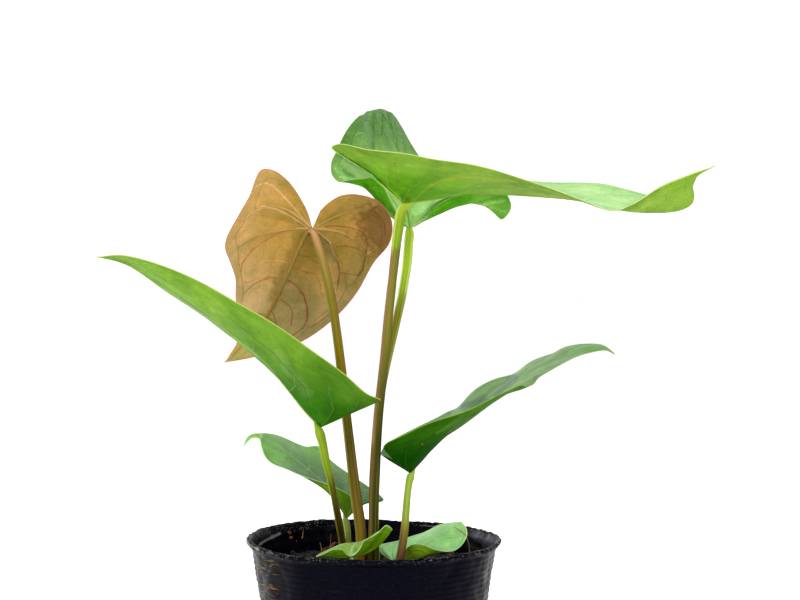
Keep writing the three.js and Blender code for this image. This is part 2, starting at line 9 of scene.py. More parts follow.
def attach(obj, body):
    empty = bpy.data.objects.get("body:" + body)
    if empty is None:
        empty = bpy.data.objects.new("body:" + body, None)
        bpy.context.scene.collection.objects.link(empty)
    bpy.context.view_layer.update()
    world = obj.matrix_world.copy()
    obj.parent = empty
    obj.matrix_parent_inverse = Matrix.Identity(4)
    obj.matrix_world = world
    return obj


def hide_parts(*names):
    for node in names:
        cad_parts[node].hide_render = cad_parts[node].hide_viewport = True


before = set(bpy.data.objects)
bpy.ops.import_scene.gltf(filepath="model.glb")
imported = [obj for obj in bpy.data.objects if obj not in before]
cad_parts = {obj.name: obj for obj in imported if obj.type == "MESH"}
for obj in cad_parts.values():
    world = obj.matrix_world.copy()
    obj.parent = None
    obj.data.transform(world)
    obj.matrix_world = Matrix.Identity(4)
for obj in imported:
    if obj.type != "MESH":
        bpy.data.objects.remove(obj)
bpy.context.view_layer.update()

# A young anthurium hybrid in a thin black nursery pot.
# Lists and sizes here are millimetres, turned into metres where a piece is made.
MM = 0.001

# Photograph's camera: place, downward pitch and focal length in pixels of its 800-pixel frame
CAMERA_PLACE = (10.8, -800, 218)
CAMERA_PITCH = 2.08
FOCAL_PIXELS = 1937
FRAME_PIXELS = 800
SENSOR_WIDTH = 36

# Pot: thin film with moulded ribs and a rolled lip, whose profile is (radius, height) points. The edge of its
# foot is (distance inside the base radius, height) points.
POT_HEIGHT = 90
LIP_DEPTH = 3
BODY_TOP_RADIUS = 50.7
BASE_RADIUS = 37.5
FOOT_ROUND = 2
FOOT_EDGE = ((1.2, 0.15), (0.3, 0.8))
WALL = 1
FLOOR_THICKNESS = 1.4
POT_SIDES = 240
RIB_PITCH = 2.3
RIB_DEPTH = 0.13
LIP_PROFILE = (
  (51.9, 87.4), (52.6, 88), (52.9, 88.7), (52.8, 89.3), (52.4, 89.8), (51.7, 90), (51.2, 89.7), (50.8, 88.9),
)
LIP_WAVE = 0.7
LIP_DIP = 0.5
LIP_RISE = 1.3
LIP_RISE_AT = 150
WAVE_START = 58
DRAIN_RADIUS = 3.2
DRAIN_RING = 24
DRAIN_COUNT = 6
DRAIN_SIDES = 32
DRAIN_CUT = 8

# Layers of unevenness as (how fine, how strong): dents of the film, its ragged lip, the mix, a crumb
FILM_DENTS = ((0.075, 0.5), (0.19, 0.28))
LIP_RAGS = ((0.42, 0.45), (1.1, 0.4), (2.3, 0.25))
MIX_ROUGHNESS = ((0.35, 0.9), (0.8, 0.7), (1.9, 0.4))
LUMP_SHAPE = ((1.3, 0.55), (3, 0.25))

# Soft lines are drawn on a surface as seen from the front. A line is its (x, z) points, half its width,
# its colour and its strength. These are pale glints on the far inner wall.
FILM_GLINTS = (
  ([(-48.9, 85.5), (-41.2, 87.2)], 0.6, (130, 130, 138), 0.8),
  ([(39.5, 88.2), (49.5, 84.5)], 1.6, (62, 64, 76), 0.7),
  ([(19.6, 88.4), (25.7, 88.3)], 0.35, (190, 190, 196), 0.8),
)

# Potting mix: level, a mound round the back stems, and the side as (height, share of the width above it)
MIX_LEVEL = 78
MIX_SIDE = ((MIX_LEVEL - 14, 0.955), (5, 0.8))
MOUND_HEIGHT = 7.5
MOUND_SPREAD = 13
MOUND_CENTRE = (-13, 8)
MIX_CELLS = 120

# Rough dull matter, as its two shades and how fine their grain is
EARTHY = {
  "damp_mix": ((5, 4, 8), (22, 15, 16), 260),
  "dark_crumb": ((7, 5, 9), (30, 20, 18), 330),
  "rusty_bit": ((72, 30, 16), (118, 62, 34), 400),
  "bark_chip": ((58, 30, 22), (96, 58, 40), 300),
  "dry_fibre": ((110, 70, 36), (168, 118, 66), 300),
  "crown_bark": ((84, 56, 34), (150, 116, 74), 180),
}

# Crumbs on the mix: what they are of, how many, size from and to, longest stretch, and how high they sit in
# their own size
CRUMBS = {
  "dark_crumbs": ("dark_crumb", 640, 0.5, 1.5, 1.5, 0.25),
  "rusty_bits": ("rusty_bit", 60, 0.25, 0.6, 2.6, 0.5),
  "bark_chips": ("bark_chip", 16, 0.7, 1.3, 2.4, 0.5),
}
CRUMB_TILT = 0.6
CRUMB_SEED = 41
LUMP_COUNT = 6

# Bits of bark: on the wall as (direction, height, size), on the back of the rim between two directions,
# and by the stalks as (x, y, size)
WALL_BITS = ((137.5, 84.8, 0.9), (129.7, 88.3, 0.5), (129.8, 84.5, 0.65), (138, 87.2, 0.75), (134, 83, 0.4))
RIM_BITS = 16
RIM_BITS_FROM_TO = (46, 84)
RIM_BITS_RADIUS = 51.4
RIM_BITS_HEIGHT = 89.4
RIM_BITS_SIZE = (0.25, 0.5)
MOUND_BITS = (
  (-16.5, 8.5, 1.0), (-18, 6.5, 0.9), (-21, 4.5, 1.0), (-19.5, 7, 0.8), (-15, 10, 0.9), (-22.5, 5, 0.7),
  (-17.2, 10.5, 0.7), (6.3, -13, 1.9), (8.5, -13.5, 1.4), (-20.3, 5.6, 0.7),
)

# Roots and fibres that stand up or hang, as [x, y, z, radius], and the short ones drawn by a seeded rule
LONG_FIBRES = (
  [[31.2, -7, 95.9, 0.14], [33, -8, 95.9, 0.16], [34.6, -10, 95.3, 0.18], [36.1, -12, 94.6, 0.18],
   [37.6, -13, 93.2, 0.2], [38.7, -13.5, 90.4, 0.2], [39.3, -12, 86.8, 0.2], [39.6, -10, 80, 0.2]],
  [[-18.2, 9, 83.5, 0.2], [-18.4, 9.2, 87, 0.18], [-18.1, 9, 90.6, 0.1]],
  [[-22.2, 4.5, 81.5, 0.2], [-22, 4, 85, 0.17], [-22.6, 3.6, 87.6, 0.1]],
  [[-15.4, 9.5, 84.5, 0.2], [-14.6, 9, 87.4, 0.2], [-12.9, 8.6, 88.6, 0.18], [-11.9, 8.8, 87.6, 0.12]],
  [[-31.6, 33.4, 84.5, 0.16], [-31.2, 33.6, 86.6, 0.16], [-31, 33.2, 88.6, 0.1]],
)
SHORT_FIBRES = 46
FIBRE_SEED = 8
FIBRE_SIDES = 4
FIBRE_POINTS = 5
FIBRE_RADIUS = 0.16
FIBRE_TIP_RADIUS = 0.07
FIBRE_ARCH = 2.2
FIBRE_TURN = 0.7
FIBRE_STEP = (1.2, 2.6)

# Blades: rows from rib to margin, the share of them that fans out from the stalk, thickness
ROWS = 150
COLUMNS = 46
FAN_SHARE = 0.4
BLADE_THICKNESS = 0.55
MARGIN_THINNING = 0.4
THINNING_START = 0.7
ROW_BOW = 0.07
BOW_BLEND = 0.12
SWEEP_BLEND = 0.3
QUILT_FULL_WIDTH = 20
COLLECTIVE_VEIN = 0.84
LOOP_SWELL = 0.05
RUNG_STEP = 6.5
SHEET_WELD = 0.004

# Midrib under a blade: points along it, the share of the rib that it reaches, its smallest radius
RIDGE_POINTS = 26
RIDGE_END = 0.94
RIDGE_TIP_RADIUS = 0.12
RIDGE_SIDES = 10

# Lengths that the materials read are stored as shares of this one
MAP_SPAN = 100

# Mottling of a blade: what the colour is multiplied by, noise scale, noise from and to, strength
MOTTLING = (
  ((0.7, 0.78, 0.66), 42, 0.6, 0.38, 1.0),
  ((1.3, 1.2, 1.3), 120, 0.5, 0.68, 0.8),
  ((0.78, 0.84, 0.74), 330, 0.5, 0.68, 0.7),
  ((1.25, 1.2, 1.3), 800, 0.52, 0.7, 0.5),
)
SPOT_DEPTH = 0.15

# Stalks
STALK_SIDES = 20
STALK_STEP = 2
STALK_FULLNESS = 1.12
STALK_SAMPLES = 300
SKIN_STRETCH = 0.35

# End of a stalk under its midrib: how far along the rib and how thick, in radii of its top
STALK_END = ((0.0, 1.22), (0.8, 0.8), (1.5, 0.42), (2.2, 0.15))

# Lights in metres and watts, as (name, place, what it is aimed at, width and height, power)
LIGHTS = (
  ("key", (-0.85, -1.2, 0.6), (0, 0, 0.17), (1.2, 1.0), 16),
  ("fill", (0.9, -1.2, 0.6), (0, 0, 0.17), (1.2, 1.0), 12),
  ("back", (0.7, 0.7, 1.4), (0, 0, 0.17), (0.9, 0.9), 6),
  ("side", (-0.75, 0.65, 0.15), (0, 0, 0.05), (0.6, 0.6), 9),
)

# Leaves, from the highest to the lowest.
# face: the direction of the upper face. wave: height and number of the ripples along the margin.
# stalk: [x, y, z, radius] from below the blade down to the crown. rib: from the stalk to the tip.
# near, far: the margins, from the sinus round the lobe towards the tip, as [x, y, z, arch], where arch is
# how far the blade stands off the straight line from rib to margin. basal: how much of each margin fans
# out from the stalk.
# veins: places of the side veins in the rows, 0 at the sinus and 1 at the tip, and far_veins where the far
# half has its own. curl: how far they sweep forward. quilt: how far the blade swells between them.
# ridge: radius of the midrib.
# colours: on each face the deep colour by the stalk, the light one further out, the veins' colour and its
# strength, then the rim and the midrib. reach: where deep turns to light. vein_start: the veins by the stalk.
# spots: round patches as (centre, radius, colour, strength). streaks_and_painted_light: soft lines, as
# described above.
# stalk_colours: (height, colour). stripes_and_painted_light: direction and half width in degrees, colour,
# strength, upper end.
# On the stalks, brown bands are their own colour and pale bands are painted light on the lit side.
# Some soft lines on the blades are their own marks, others are painted highlights and painted shade.
LEAVES = {
  "high_right": {
    "face": [0, -0.25, 1],
    "wave": [0.4, 3],
    "stalk": [
      [11.4, 1.9, 226.2, 1.9], [10.4, 1, 220.3, 2], [9.5, 0.5, 213.7, 1.8], [7.7, -0.5, 197.6, 1.6],
      [5.8, -1.5, 180, 1.7], [4.4, -2.5, 165, 1.7], [1.7, -4, 139.6, 1.8], [0.4, -5.5, 117.4, 2],
      [-0.1, -6.5, 98.6, 1.8], [-0.1, -7, 87, 2.1], [-0.4, -6.8, 74, 2.2], [-0.6, -6.4, 62.8, 2.1],
    ],
    "rib": [
      [12, 2, 229.1], [25.3, 1, 230.9], [38.4, 0, 233.1], [52, 0, 232.8], [66.4, -1, 231.9],
      [80.7, -2, 230.6], [95, -4, 228], [109, -5, 225.6], [119.5, -6, 225.2], [126.5, -6, 226.4],
      [130.4, -5.5, 228.8], [131.2, -5, 232], [130.7, -4, 236.8], [133, -4, 240.4], [140, -4, 244.1],
    ],
    "near": [
      [0, -16, 240.1, -1], [-9.9, -26, 245.5, 1.5], [-16.3, -32, 250.1, 1.7], [-12.8, -37, 251.6, 1],
      [-1.7, -41, 249.6, -1], [12, -43, 248.1, -2], [24.5, -43, 245.3, -2], [41.7, -42, 242.5, -2],
      [56.8, -39, 238.7, -1], [71, -35, 234.4, 0], [83.8, -31, 229.4, 0], [95.3, -27, 225, 0],
      [104.2, -23, 228, -2], [116, -18, 235.7, -3], [128.5, -10, 240.8, -1],
    ],
    "far": [
      [-0.9, 13, 243, -1], [-9, 17, 248.1, -1], [-6, 22, 250.2, -1], [0.6, 25, 249.5, -1],
      [10.8, 29, 248, -2], [25.8, 34, 245.6, -2], [41, 37, 243, -2], [58.3, 37, 240.3, -1],
      [77.9, 35, 238.6, -1], [89.8, 33, 238.1, -1], [98.5, 30, 237.1, -1], [107, 26, 234.9, -1],
      [115.4, 21, 232.8, -1], [123.8, 13, 231.5, -1], [128.2, 5, 233.2, 0], [129.6, 0, 237.5, 0],
      [133.2, -2.5, 241, 0],
    ],
    "basal": [0.33, 0.28],
    "veins": [0.1, 0.24, 0.37, 0.5, 0.61, 0.72, 0.83],
    "curl": 0.12, "quilt": 0.3, "ridge": 0.42,
    "colours": {
      "upper": [(101, 172, 78), (150, 196, 108), (175, 221, 143), 0.6],
      "under": [(92, 158, 1), (124, 158, 56), (150, 158, 67), 0.3],
      "edge": (181, 201, 108), "rib": (143, 163, 50),
    },
    "streaks_and_painted_light": {
      "under": [
        ([(8.7, 244.4), (11, 230.8)], 0.3, (109, 122, 40), 0.5),
        ([(25, 236.1), (17.3, 229.5)], 0.4, (109, 122, 40), 0.5),
        ([(12, 231.5), (14.4, 229.5)], 1.4, (34, 106, 1), 0.6),
        ([(-11, 247.1), (1.5, 238.6)], 0.8, (158, 200, 66), 0.7),
        ([(1.5, 238.6), (10.6, 230.3)], 0.8, (150, 200, 50), 0.7),
        ([(14.4, 228.7), (16.8, 230.1), (21.7, 234.7), (26.8, 237.3), (34.5, 238.8), (44.7, 238.3),
          (57.4, 236.7)], 0.35, (150, 156, 52), 0.75),
        ([(121.5, 234.5), (131.5, 240)], 2.4, (106, 150, 26), 0.5),
        ([(131.5, 240.5), (136, 243)], 1.2, (92, 146, 8), 0.6),
      ],
    },
    "stalk_colours": [(80, (47, 46, 3)), (106, (44, 48, 1)), (130, (58, 60, 6)), (176, (117, 112, 36)),
                      (209, (111, 109, 37)), (211.5, (120, 148, 32)), (222, (130, 154, 34)),
                      (229, (164, 188, 54))],
    # The pale band on the left is a painted highlight, and the dark one on the right is painted shade.
    "stripes_and_painted_light": [(-158, 34, (214, 228, 124), 0.6, 300), (-148, 42, (145, 108, 70), 0.9, 209),
                (-52, 9, (112, 106, 54), 0.4, 209), (0, 32, (61, 49, 19), 0.7, 209),
                (-148, 44, (92, 74, 26), 0.8, 130), (-52, 14, (84, 80, 18), 0.7, 118)],
  },
  "high_back": {
    "face": [0, -0.5, 0.87],
    "wave": [0.5, 3],
    "stalk": [
      [14.8, 35.6, 216.2, 1.8], [14.4, 33.3, 211, 1.8], [14, 31, 205, 1.9], [11.9, 26, 191.4, 1.7],
      [8.3, 21, 175, 1.6], [5.5, 17, 162.7, 1.5], [3, 13.5, 149.9, 1.5], [0.8, 8, 125.8, 1.5],
      [0.4, 2.5, 105.6, 1.5], [0.4, -1.2, 86, 1.6], [1.4, 0, 72, 1.7], [2.2, 0.6, 57, 1.7],
    ],
    "rib": [
      [14.9, 36, 218.7], [13.4, 40, 228.7], [11.7, 48, 241.9], [8.6, 60, 256.5], [5.4, 74, 268.5],
      [4, 86, 272.3], [2.9, 99, 270], [2.3, 114, 261],
    ],
    "near": [
      [4.8, 25, 234.2, -2.5], [0.2, 24, 239.8, -4.5], [-5.3, 24, 239.4, -4], [-11.3, 25, 238.9, 4.4],
      [-15.2, 27, 238.4, 5.9], [-18.3, 29, 241.7, 4.6], [-18.8, 32, 247, 4], [-17.2, 36, 250.9, 3],
      [-12.7, 46, 260.6, 2.5], [-7.8, 58, 268.2, 3], [-5.7, 68, 269.8, 4.6], [-3.5, 84, 271.2, 5.2],
      [-0.5, 101, 267.6, 1],
    ],
    "far": [
      [24.9, 28, 226.8, -2.2], [31.3, 27, 230.8, -2.2], [37.2, 27, 232.8, 0], [47.1, 28, 234, -0.2],
      [54.9, 31, 235.2, 0.8], [58.3, 35, 230.7, 3.8], [58.8, 38, 227.3, 8], [57, 41, 223.7, 8.8],
      [54.9, 43, 222.1, 13.8], [50.1, 48, 227.3, 8.9], [41.5, 52, 232.8, 4], [30.7, 57, 240, 1.5],
      [21.9, 63, 247.6, 0.5], [16.2, 69, 255.4, 1], [11.3, 77, 264.6, 1], [8.1, 88, 270.2, 1.5],
      [5.7, 101, 267, 0],
    ],
    "basal": [0.5, 0.56],
    "veins": [0.08, 0.2, 0.31, 0.43, 0.54, 0.66, 0.79],
    "curl": 0.14, "quilt": 0.45, "ridge": 0.5, "shine": 0.06,
    "colours": {
      # The pale colour by the stalk on the upper face is painted light, where the blade above shades it.
      "upper": [(178, 222, 128), (69, 117, 35), (140, 178, 104), 0.5],
      "under": [(93, 171, 12), (78, 149, 29), (125, 177, 76), 0.35],
      "edge": (160, 190, 120), "rib": (130, 175, 70),
    },
    "spots": {
      "upper": [([-16.9, 34, 244.2], 0.6, (226, 232, 150), 0.8),
                ([-14.8, 32, 240.5], 0.65, (214, 226, 130), 0.8)],
    },
    "streaks_and_painted_light": {
      "upper": [
        # Painted light and shade of the pleats: short upright lines by the tip.
        ([(-1, 268.9), (-0.8, 253.7)], 0.7, (48, 94, 34), 0.7),
        ([(1.6, 269.6), (2, 259.5)], 1.1, (94, 125, 76), 0.7),
        ([(3, 270), (2.8, 259.5)], 0.4, (42, 89, 27), 0.7),
        ([(-3.9, 266), (-2.1, 254.4)], 1.1, (89, 124, 73), 0.6),
        ([(5.5, 260.5), (5.5, 253.7)], 2, (89, 125, 76), 0.5),
        ([(8.8, 259.5), (10.3, 253)], 0.8, (83, 122, 66), 0.5),
        # Painted shade: a bluish band over the near lobe.
        ([(-15.1, 250.1), (-1.7, 242.1)], 1.1, (68, 111, 79), 0.5),
        ([(-13.4, 243), (-9.5, 241)], 0.9, (44, 102, 38), 0.55),
        ([(-16.8, 244.3), (-13.4, 240.2)], 1.2, (148, 204, 118), 0.6),
        ([(-13.4, 240.2), (-9, 239.2)], 0.8, (156, 212, 130), 0.6),
        # Painted light: a wide pale patch by the stalk, under the blade above.
        ([(17.4, 224.9), (28.3, 229.7)], 3.1, (188, 240, 150), 0.8),
        ([(4.3, 228.8), (7.9, 224.3)], 0.9, (62, 136, 14), 0.9),
      ],
      "under": [
        ([(-3.8, 236.5), (7.8, 225.2)], 0.9, (34, 83, 9), 0.5),
        ([(2.2, 233.7), (4.3, 230.8)], 0.9, (71, 133, 47), 0.5),
        ([(46, 231.6), (56.5, 226.8)], 5.2, (114, 168, 62), 0.8),
        ([(45.3, 229.9), (54.4, 232.3)], 0.6, (84, 138, 48), 0.5),
        ([(44.4, 228.4), (55.6, 230.4)], 0.6, (176, 216, 136), 0.4),
        ([(50, 227.9), (57.1, 225.2)], 0.6, (166, 206, 124), 0.35),
        ([(27.9, 225.1), (40.7, 228.1)], 0.5, (47, 88, 22), 0.5),
      ],
    },
    "stalk_colours": [(80, (80, 70, 12)), (150, (82, 75, 11)), (182, (104, 103, 22)), (192, (136, 156, 38)),
                      (218, (174, 204, 58))],
    # The pale bands on the left and on the front right are painted light.
    "stripes_and_painted_light": [(-165, 26, (204, 222, 130), 0.5, 300), (-150, 30, (135, 109, 61), 0.75, 186),
                (-22, 38, (214, 232, 128), 0.7, 300), (-96, 12, (128, 164, 20), 0.45, 300),
                (-22, 42, (128, 124, 36), 0.8, 191), (-96, 16, (108, 102, 14), 0.6, 191)],
  },
  "bronze": {
    "face": [0.1, 0.93, 0.36],
    "wave": [0.4, 4],
    "stalk": [
      [-25.3, 10, 215.6, 1.1], [-22.7, 10.4, 209.1, 1.5], [-19.7, 9.4, 198, 1.8],
      [-17.4, 8, 187, 1.7], [-15.9, 7, 177.2, 1.7], [-13.6, 5, 159.6, 1.8], [-11.3, 2.5, 139, 1.8],
      [-9.5, 0, 124.2, 1.9], [-7.5, -2, 107.9, 2.1], [-5.2, -4, 91, 2.1], [-6.2, -5.4, 74, 2.1],
      [-8.3, -7.3, 57, 2],
    ],
    "rib": [
      [-25.9, 12.6, 218.3], [-28, 13, 217.2], [-32.6, 16, 207.8], [-37.1, 20, 198.1],
      [-44, 26, 184.5], [-48.6, 30, 177.5], [-56.3, 35, 169.4], [-65.1, 39, 160.5],
    ],
    "near": [
      [-28.5, 10, 227, 0], [-32.1, 8, 233.2, 0], [-36.5, 7, 239, 0], [-41.6, 6, 242.7, 0],
      [-46.9, 7, 242.9, 0], [-52.4, 11, 231.6, 0], [-56.5, 14, 225, 1], [-62.6, 18, 214, 1],
      [-63.2, 20, 209.5, 1], [-61.5, 22, 204.5, 1], [-59.2, 25, 197, 1], [-59.5, 29, 188.4, 1],
      [-58.9, 33, 179.2, 1], [-59.7, 36, 169.4, 0], [-62.5, 38, 164.7, 0],
    ],
    "far": [
      [-22.6, 11, 225.8, 0], [-18.8, 9.5, 229.3, 0], [-13.7, 9, 232.2, 0], [-7, 9.5, 232.8, 0],
      [1.6, 12, 230, 1], [7.2, 16, 222, 1], [6.6, 20, 212.8, 1], [-0.4, 24, 203.9, 1],
      [-7.4, 29, 191.4, 1], [-15.1, 33, 182.2, 1], [-25.5, 37, 173.4, 1], [-32.5, 38.5, 169.1, 0],
      [-43.4, 39.5, 165.2, 0], [-53, 39.5, 162.8, 0], [-60, 39.5, 161.3, 0],
    ],
    "basal": [0.46, 0.46],
    "veins": [0.1, 0.22, 0.4, 0.6, 0.76, 0.88],
    "far_veins": [0.14, 0.27, 0.39, 0.6, 0.76, 0.88],
    "curl": 0.14, "vein_width": 0.42, "vein_start": (206, 166, 110), "quilt": 0.5, "ridge": 0.74,
    "colours": {
      "upper": [(112, 92, 40), (150, 112, 62), (170, 120, 80), 0.6],
      "under": [(169, 129, 62), (193, 159, 113), (140, 80, 34), 0.45],
      "edge": (204, 90, 74), "rib": (150, 116, 48),
    },
    # The first patch is painted shade on the far lobe; the second is the leaf's yellowish tip.
    "spots": {"under": [([4, 16, 219], 14, (90, 56, 20), 0.72), ([-60, 38, 164], 12, (150, 146, 66), 0.7)]},
    "streaks_and_painted_light": {
      "under": [
        ([(-36.9, 196.4), (-32.9, 181.3)], 3.8, (165, 137, 97), 0.5),
        ([(-30.8, 216), (-43.9, 188.9)], 2.1, (112, 86, 34), 0.5),
        ([(-20.3, 213), (-17.7, 204)], 2.1, (165, 138, 99), 0.5),
        ([(-59, 204.2), (-57.4, 188)], 1.1, (165, 138, 88), 0.5),
        ([(-26.9, 219.3), (-31.6, 224.9), (-36.9, 231), (-42.1, 236.3), (-45.6, 237.6), (-49.7, 235.7)],
         0.32, (216, 170, 130), 0.6),
        ([(-28.2, 219), (-35.2, 223.8), (-41.1, 226.7), (-46.4, 227.7), (-49.9, 226.1), (-52.8, 224),
          (-54.3, 220.8)], 0.35, (216, 170, 130), 0.6),
        ([(-29.6, 218.3), (-35.5, 217.9), (-41.5, 216.1), (-47.4, 212.5), (-52.1, 209), (-56.3, 203.6),
          (-56.7, 200.1)], 0.35, (168, 96, 52), 0.75),
        ([(-37.8, 197.4), (-43.1, 197.9), (-49.1, 197.3), (-55.6, 195.2)], 0.32, (186, 112, 70), 0.7),
        ([(-36.9, 196.8), (-33.3, 194.1), (-30.3, 189.6), (-29.1, 184.8), (-29.1, 179.9), (-30.9, 175.7),
          (-35.8, 172.1)], 0.35, (146, 80, 36), 0.8),
        ([(-40, 188.3), (-36.4, 185.3), (-35.3, 182.3), (-36.1, 176.9)], 0.28, (150, 84, 40), 0.65),
        ([(-44.1, 183.4), (-42.9, 180.4), (-42, 176.2)], 0.28, (150, 84, 40), 0.65),
        ([(-32.2, 207.2), (-27.5, 206.6), (-23.9, 203.6)], 0.28, (154, 88, 42), 0.6),
        ([(-33.3, 201.7), (-28.9, 199.9), (-24.7, 199), (-23.2, 194.5), (-22.9, 190.3)],
          0.28, (154, 88, 42), 0.6),
        ([(-50, 202.4), (-46.4, 204.8), (-41.6, 205.1), (-36.9, 204.2)], 0.28, (196, 140, 96), 0.6),
        ([(-25.8, 178.8), (-23.3, 180.9), (-20.3, 183.3)], 0.28, (150, 84, 40), 0.6),
        ([(-20.8, 219.4), (-15.4, 219.5), (-10, 218.9), (-5.7, 217.3), (-3.3, 214.6), (-3.1, 212),
          (-3.7, 208.2), (-5, 201.2), (-7.1, 198.2)], 0.3, (124, 70, 26), 0.8),
        ([(-20.9, 213.8), (-18.2, 211.3), (-16.1, 207), (-14.9, 200), (-16.1, 191.9)],
         0.3, (128, 72, 26), 0.8),
        ([(-16, 210.8), (-11.7, 211.1), (-7.4, 210), (-4.7, 208.1)], 0.25, (132, 76, 30), 0.65),
        ([(-15, 199.9), (-11.3, 199.1), (-7.5, 198.5)], 0.25, (132, 76, 30), 0.65),
        ([(-2, 225.8), (-0.4, 226.9), (2.3, 228)], 0.3, (88, 46, 24), 0.7),
        ([(-0.4, 225.8), (2.3, 223.7), (4.2, 220.5), (4.5, 216.2)], 0.3, (88, 46, 24), 0.6),
      ],
    },
    "stalk_colours": [(80, (122, 98, 28)), (98, (104, 84, 20)), (130, (67, 63, 7)), (168, (132, 112, 9)),
                      (189, (126, 111, 36)), (207, (152, 123, 63)), (216, (180, 135, 94))],
    "stripes_and_painted_light": [(-168, 36, (135, 132, 41), 0.75, 200), (-42, 11, (136, 102, 51), 0.75, 196),
                (-4, 26, (94, 55, 17), 0.8, 192)],
  },
  "left": {
    "face": [0.25, 0.45, 0.86],
    "wave": [0.3, 3],
    "stalk": [
      [-21.7, -9.9, 135.8, 1.7], [-21.1, -9.4, 131.5, 1.6], [-19.6, -8, 123.1, 1.5],
      [-17.7, -5, 114.5, 1.35], [-16.5, -3, 108, 1.2], [-14.5, 1, 96.2, 1.4], [-13.2, 5, 87, 1.3],
      [-10.4, 1.6, 72, 1.5], [-7.6, -2.3, 57, 1.6],
    ],
    "rib": [
      [-21.6, -10, 137.3], [-27.6, -11, 143.6], [-33.6, -13, 151.5], [-45, -18, 165.9],
      [-60.5, -25, 179.4], [-74.2, -31, 191.3], [-88.9, -37, 201.9], [-98, -42, 206.8],
      [-107.2, -46, 207.3],
    ],
    "near": [
      [-18.1, -13.5, 141.2, 0], [-13.5, -18, 144.3, 0], [-6, -27, 147.9, 0], [3.2, -36, 150.8, 0],
      [-2.1, -42, 154, 0], [-10.8, -46, 161.7, -1], [-24.1, -50, 171.4, -2],
      [-38.5, -54, 182.4, -2], [-52.5, -57, 190.6, -2], [-68.6, -57, 199.1, -2],
      [-86.8, -53, 206.3, -1], [-97.7, -49, 208.4, 0],
    ],
    "far": [
      [-19.7, -3, 142, 0], [-17.6, 4, 145.5, 0], [-18.2, 11, 149.9, 0], [-23.9, 17, 155.3, 0],
      [-31.6, 19, 160.7, 0], [-40, 19, 162.4, 0], [-50.6, 16, 165.1, 1], [-60.6, 12, 173.4, 1],
      [-70.4, 6, 181.9, 1], [-84.7, -8, 192.3, 1], [-97.3, -30, 204, 0],
    ],
    "basal": [0.3, 0.25],
    "veins": [0.1, 0.25, 0.38, 0.5, 0.62, 0.74, 0.86],
    "curl": 0.12, "quilt": 0.3, "ridge": 0.38, "reach": (0.1, 0.75),
    "colours": {
      "upper": [(86, 145, 67), (143, 186, 106), (190, 228, 165), 0.6],
      "under": [(38, 96, 0), (110, 150, 42), (140, 170, 84), 0.15],
      "edge": (172, 189, 94), "rib": (135, 161, 62),
    },
    "streaks_and_painted_light": {
      "under": [
        ([(-91.4, 197.2), (-71.9, 184.2)], 1.1, (129, 153, 102), 0.6),
        ([(-71.9, 184.2), (-48.5, 166.7)], 1.5, (129, 153, 102), 0.6),
        ([(-78.4, 190.3), (-50.1, 169.6)], 0.3, (52, 83, 14), 0.7),
        ([(-36.7, 168.4), (-27, 152.9)], 2.4, (117, 148, 73), 0.35),
        ([(-61.4, 186.2), (-51.7, 177.3)], 1.6, (117, 153, 71), 0.4),
        ([(-25.4, 142.7), (-27.4, 154.9)], 0.2, (35, 76, 5), 0.6),
        ([(-27.4, 154.9), (-38.7, 168.4)], 0.2, (35, 76, 5), 0.6),
        ([(-38.7, 168.4), (-54.9, 182.6)], 0.2, (43, 83, 14), 0.5),
      ],
    },
    "stalk_colours": [(80, (51, 46, 3)), (101, (49, 42, 4)), (112, (82, 86, 6)), (118, (114, 134, 22)),
                      (137, (125, 152, 34))],
    # The light green band on the left is painted light.
    "stripes_and_painted_light": [(180, 50, (144, 173, 46), 0.6, 300), (-16, 42, (90, 66, 22), 0.8, 116),
                (180, 50, (112, 88, 36), 0.75, 108)],
  },
  "low_left": {
    "face": [0.2, -0.45, 0.87],
    "wave": [0.3, 4],
    "stalk": [
      [-11.7, 11.9, 94.2, 1.3], [-11.3, 11, 90.5, 1.3], [-11, 9.8, 84.5, 1.2], [-8, 5.4, 72, 1.4],
      [-4.4, 0.9, 57, 1.5],
    ],
    "rib": [
      [-11.7, 12, 96.4], [-14, 12, 101.3], [-16.6, 13, 106.2], [-20.9, 15, 110.6],
      [-28.2, 18, 116.2], [-37.2, 20, 123.2], [-44.5, 21, 128], [-50.4, 21, 130.9],
      [-54, 20.7, 129.6], [-55.5, 20, 126],
    ],
    "near": [
      [-10, 9.5, 99.6, 0], [-9.3, 7.5, 103.7, 0], [-10.3, 6, 107.2, 0.3], [-15.9, 4.5, 110.6, 0.8],
      [-22.1, 4, 112.6, 1.2], [-29.2, 4, 115.4, 1.2], [-36.8, 6, 117.8, 0.8], [-41.6, 8, 119.6, 0.3],
      [-45.6, 11, 122.4, 0], [-47.8, 15, 126, 0], [-49, 18.5, 129.5, 0], [-52.3, 20, 129.6, 0],
    ],
    "far": [
      [-7.8, 15, 100.4, 0], [-5.1, 19, 101.8, 1], [-1.1, 23, 101.6, 2.5], [3.8, 27, 102.4, 3.5],
      [-2.4, 32, 106.6, 2], [-12.6, 36, 113.5, 0], [-19.6, 38, 118, 0], [-24.8, 39, 123.8, 0],
      [-30, 38, 124.1, 0], [-37.3, 36, 127, 0], [-44.6, 29, 130.3, 0], [-49, 23.5, 131.4, 0],
      [-53.2, 21.3, 130.4, 0],
    ],
    "basal": [0.34, 0.34],
    "veins": [0.1, 0.25, 0.38, 0.52, 0.66, 0.8],
    "curl": 0.12, "quilt": 0.35, "ridge": 0.32,
    "colours": {
      "upper": [(44, 94, 20), (117, 171, 76), (135, 177, 109), 0.45],
      "under": [(106, 149, 15), (110, 170, 30), (130, 170, 70), 0.25],
      "edge": (170, 206, 150), "rib": (110, 165, 70),
    },
    "streaks_and_painted_light": {
      "upper": [
        ([(-33.4, 124.6), (-33, 123.8)], 1.3, (78, 136, 80), 0.5),
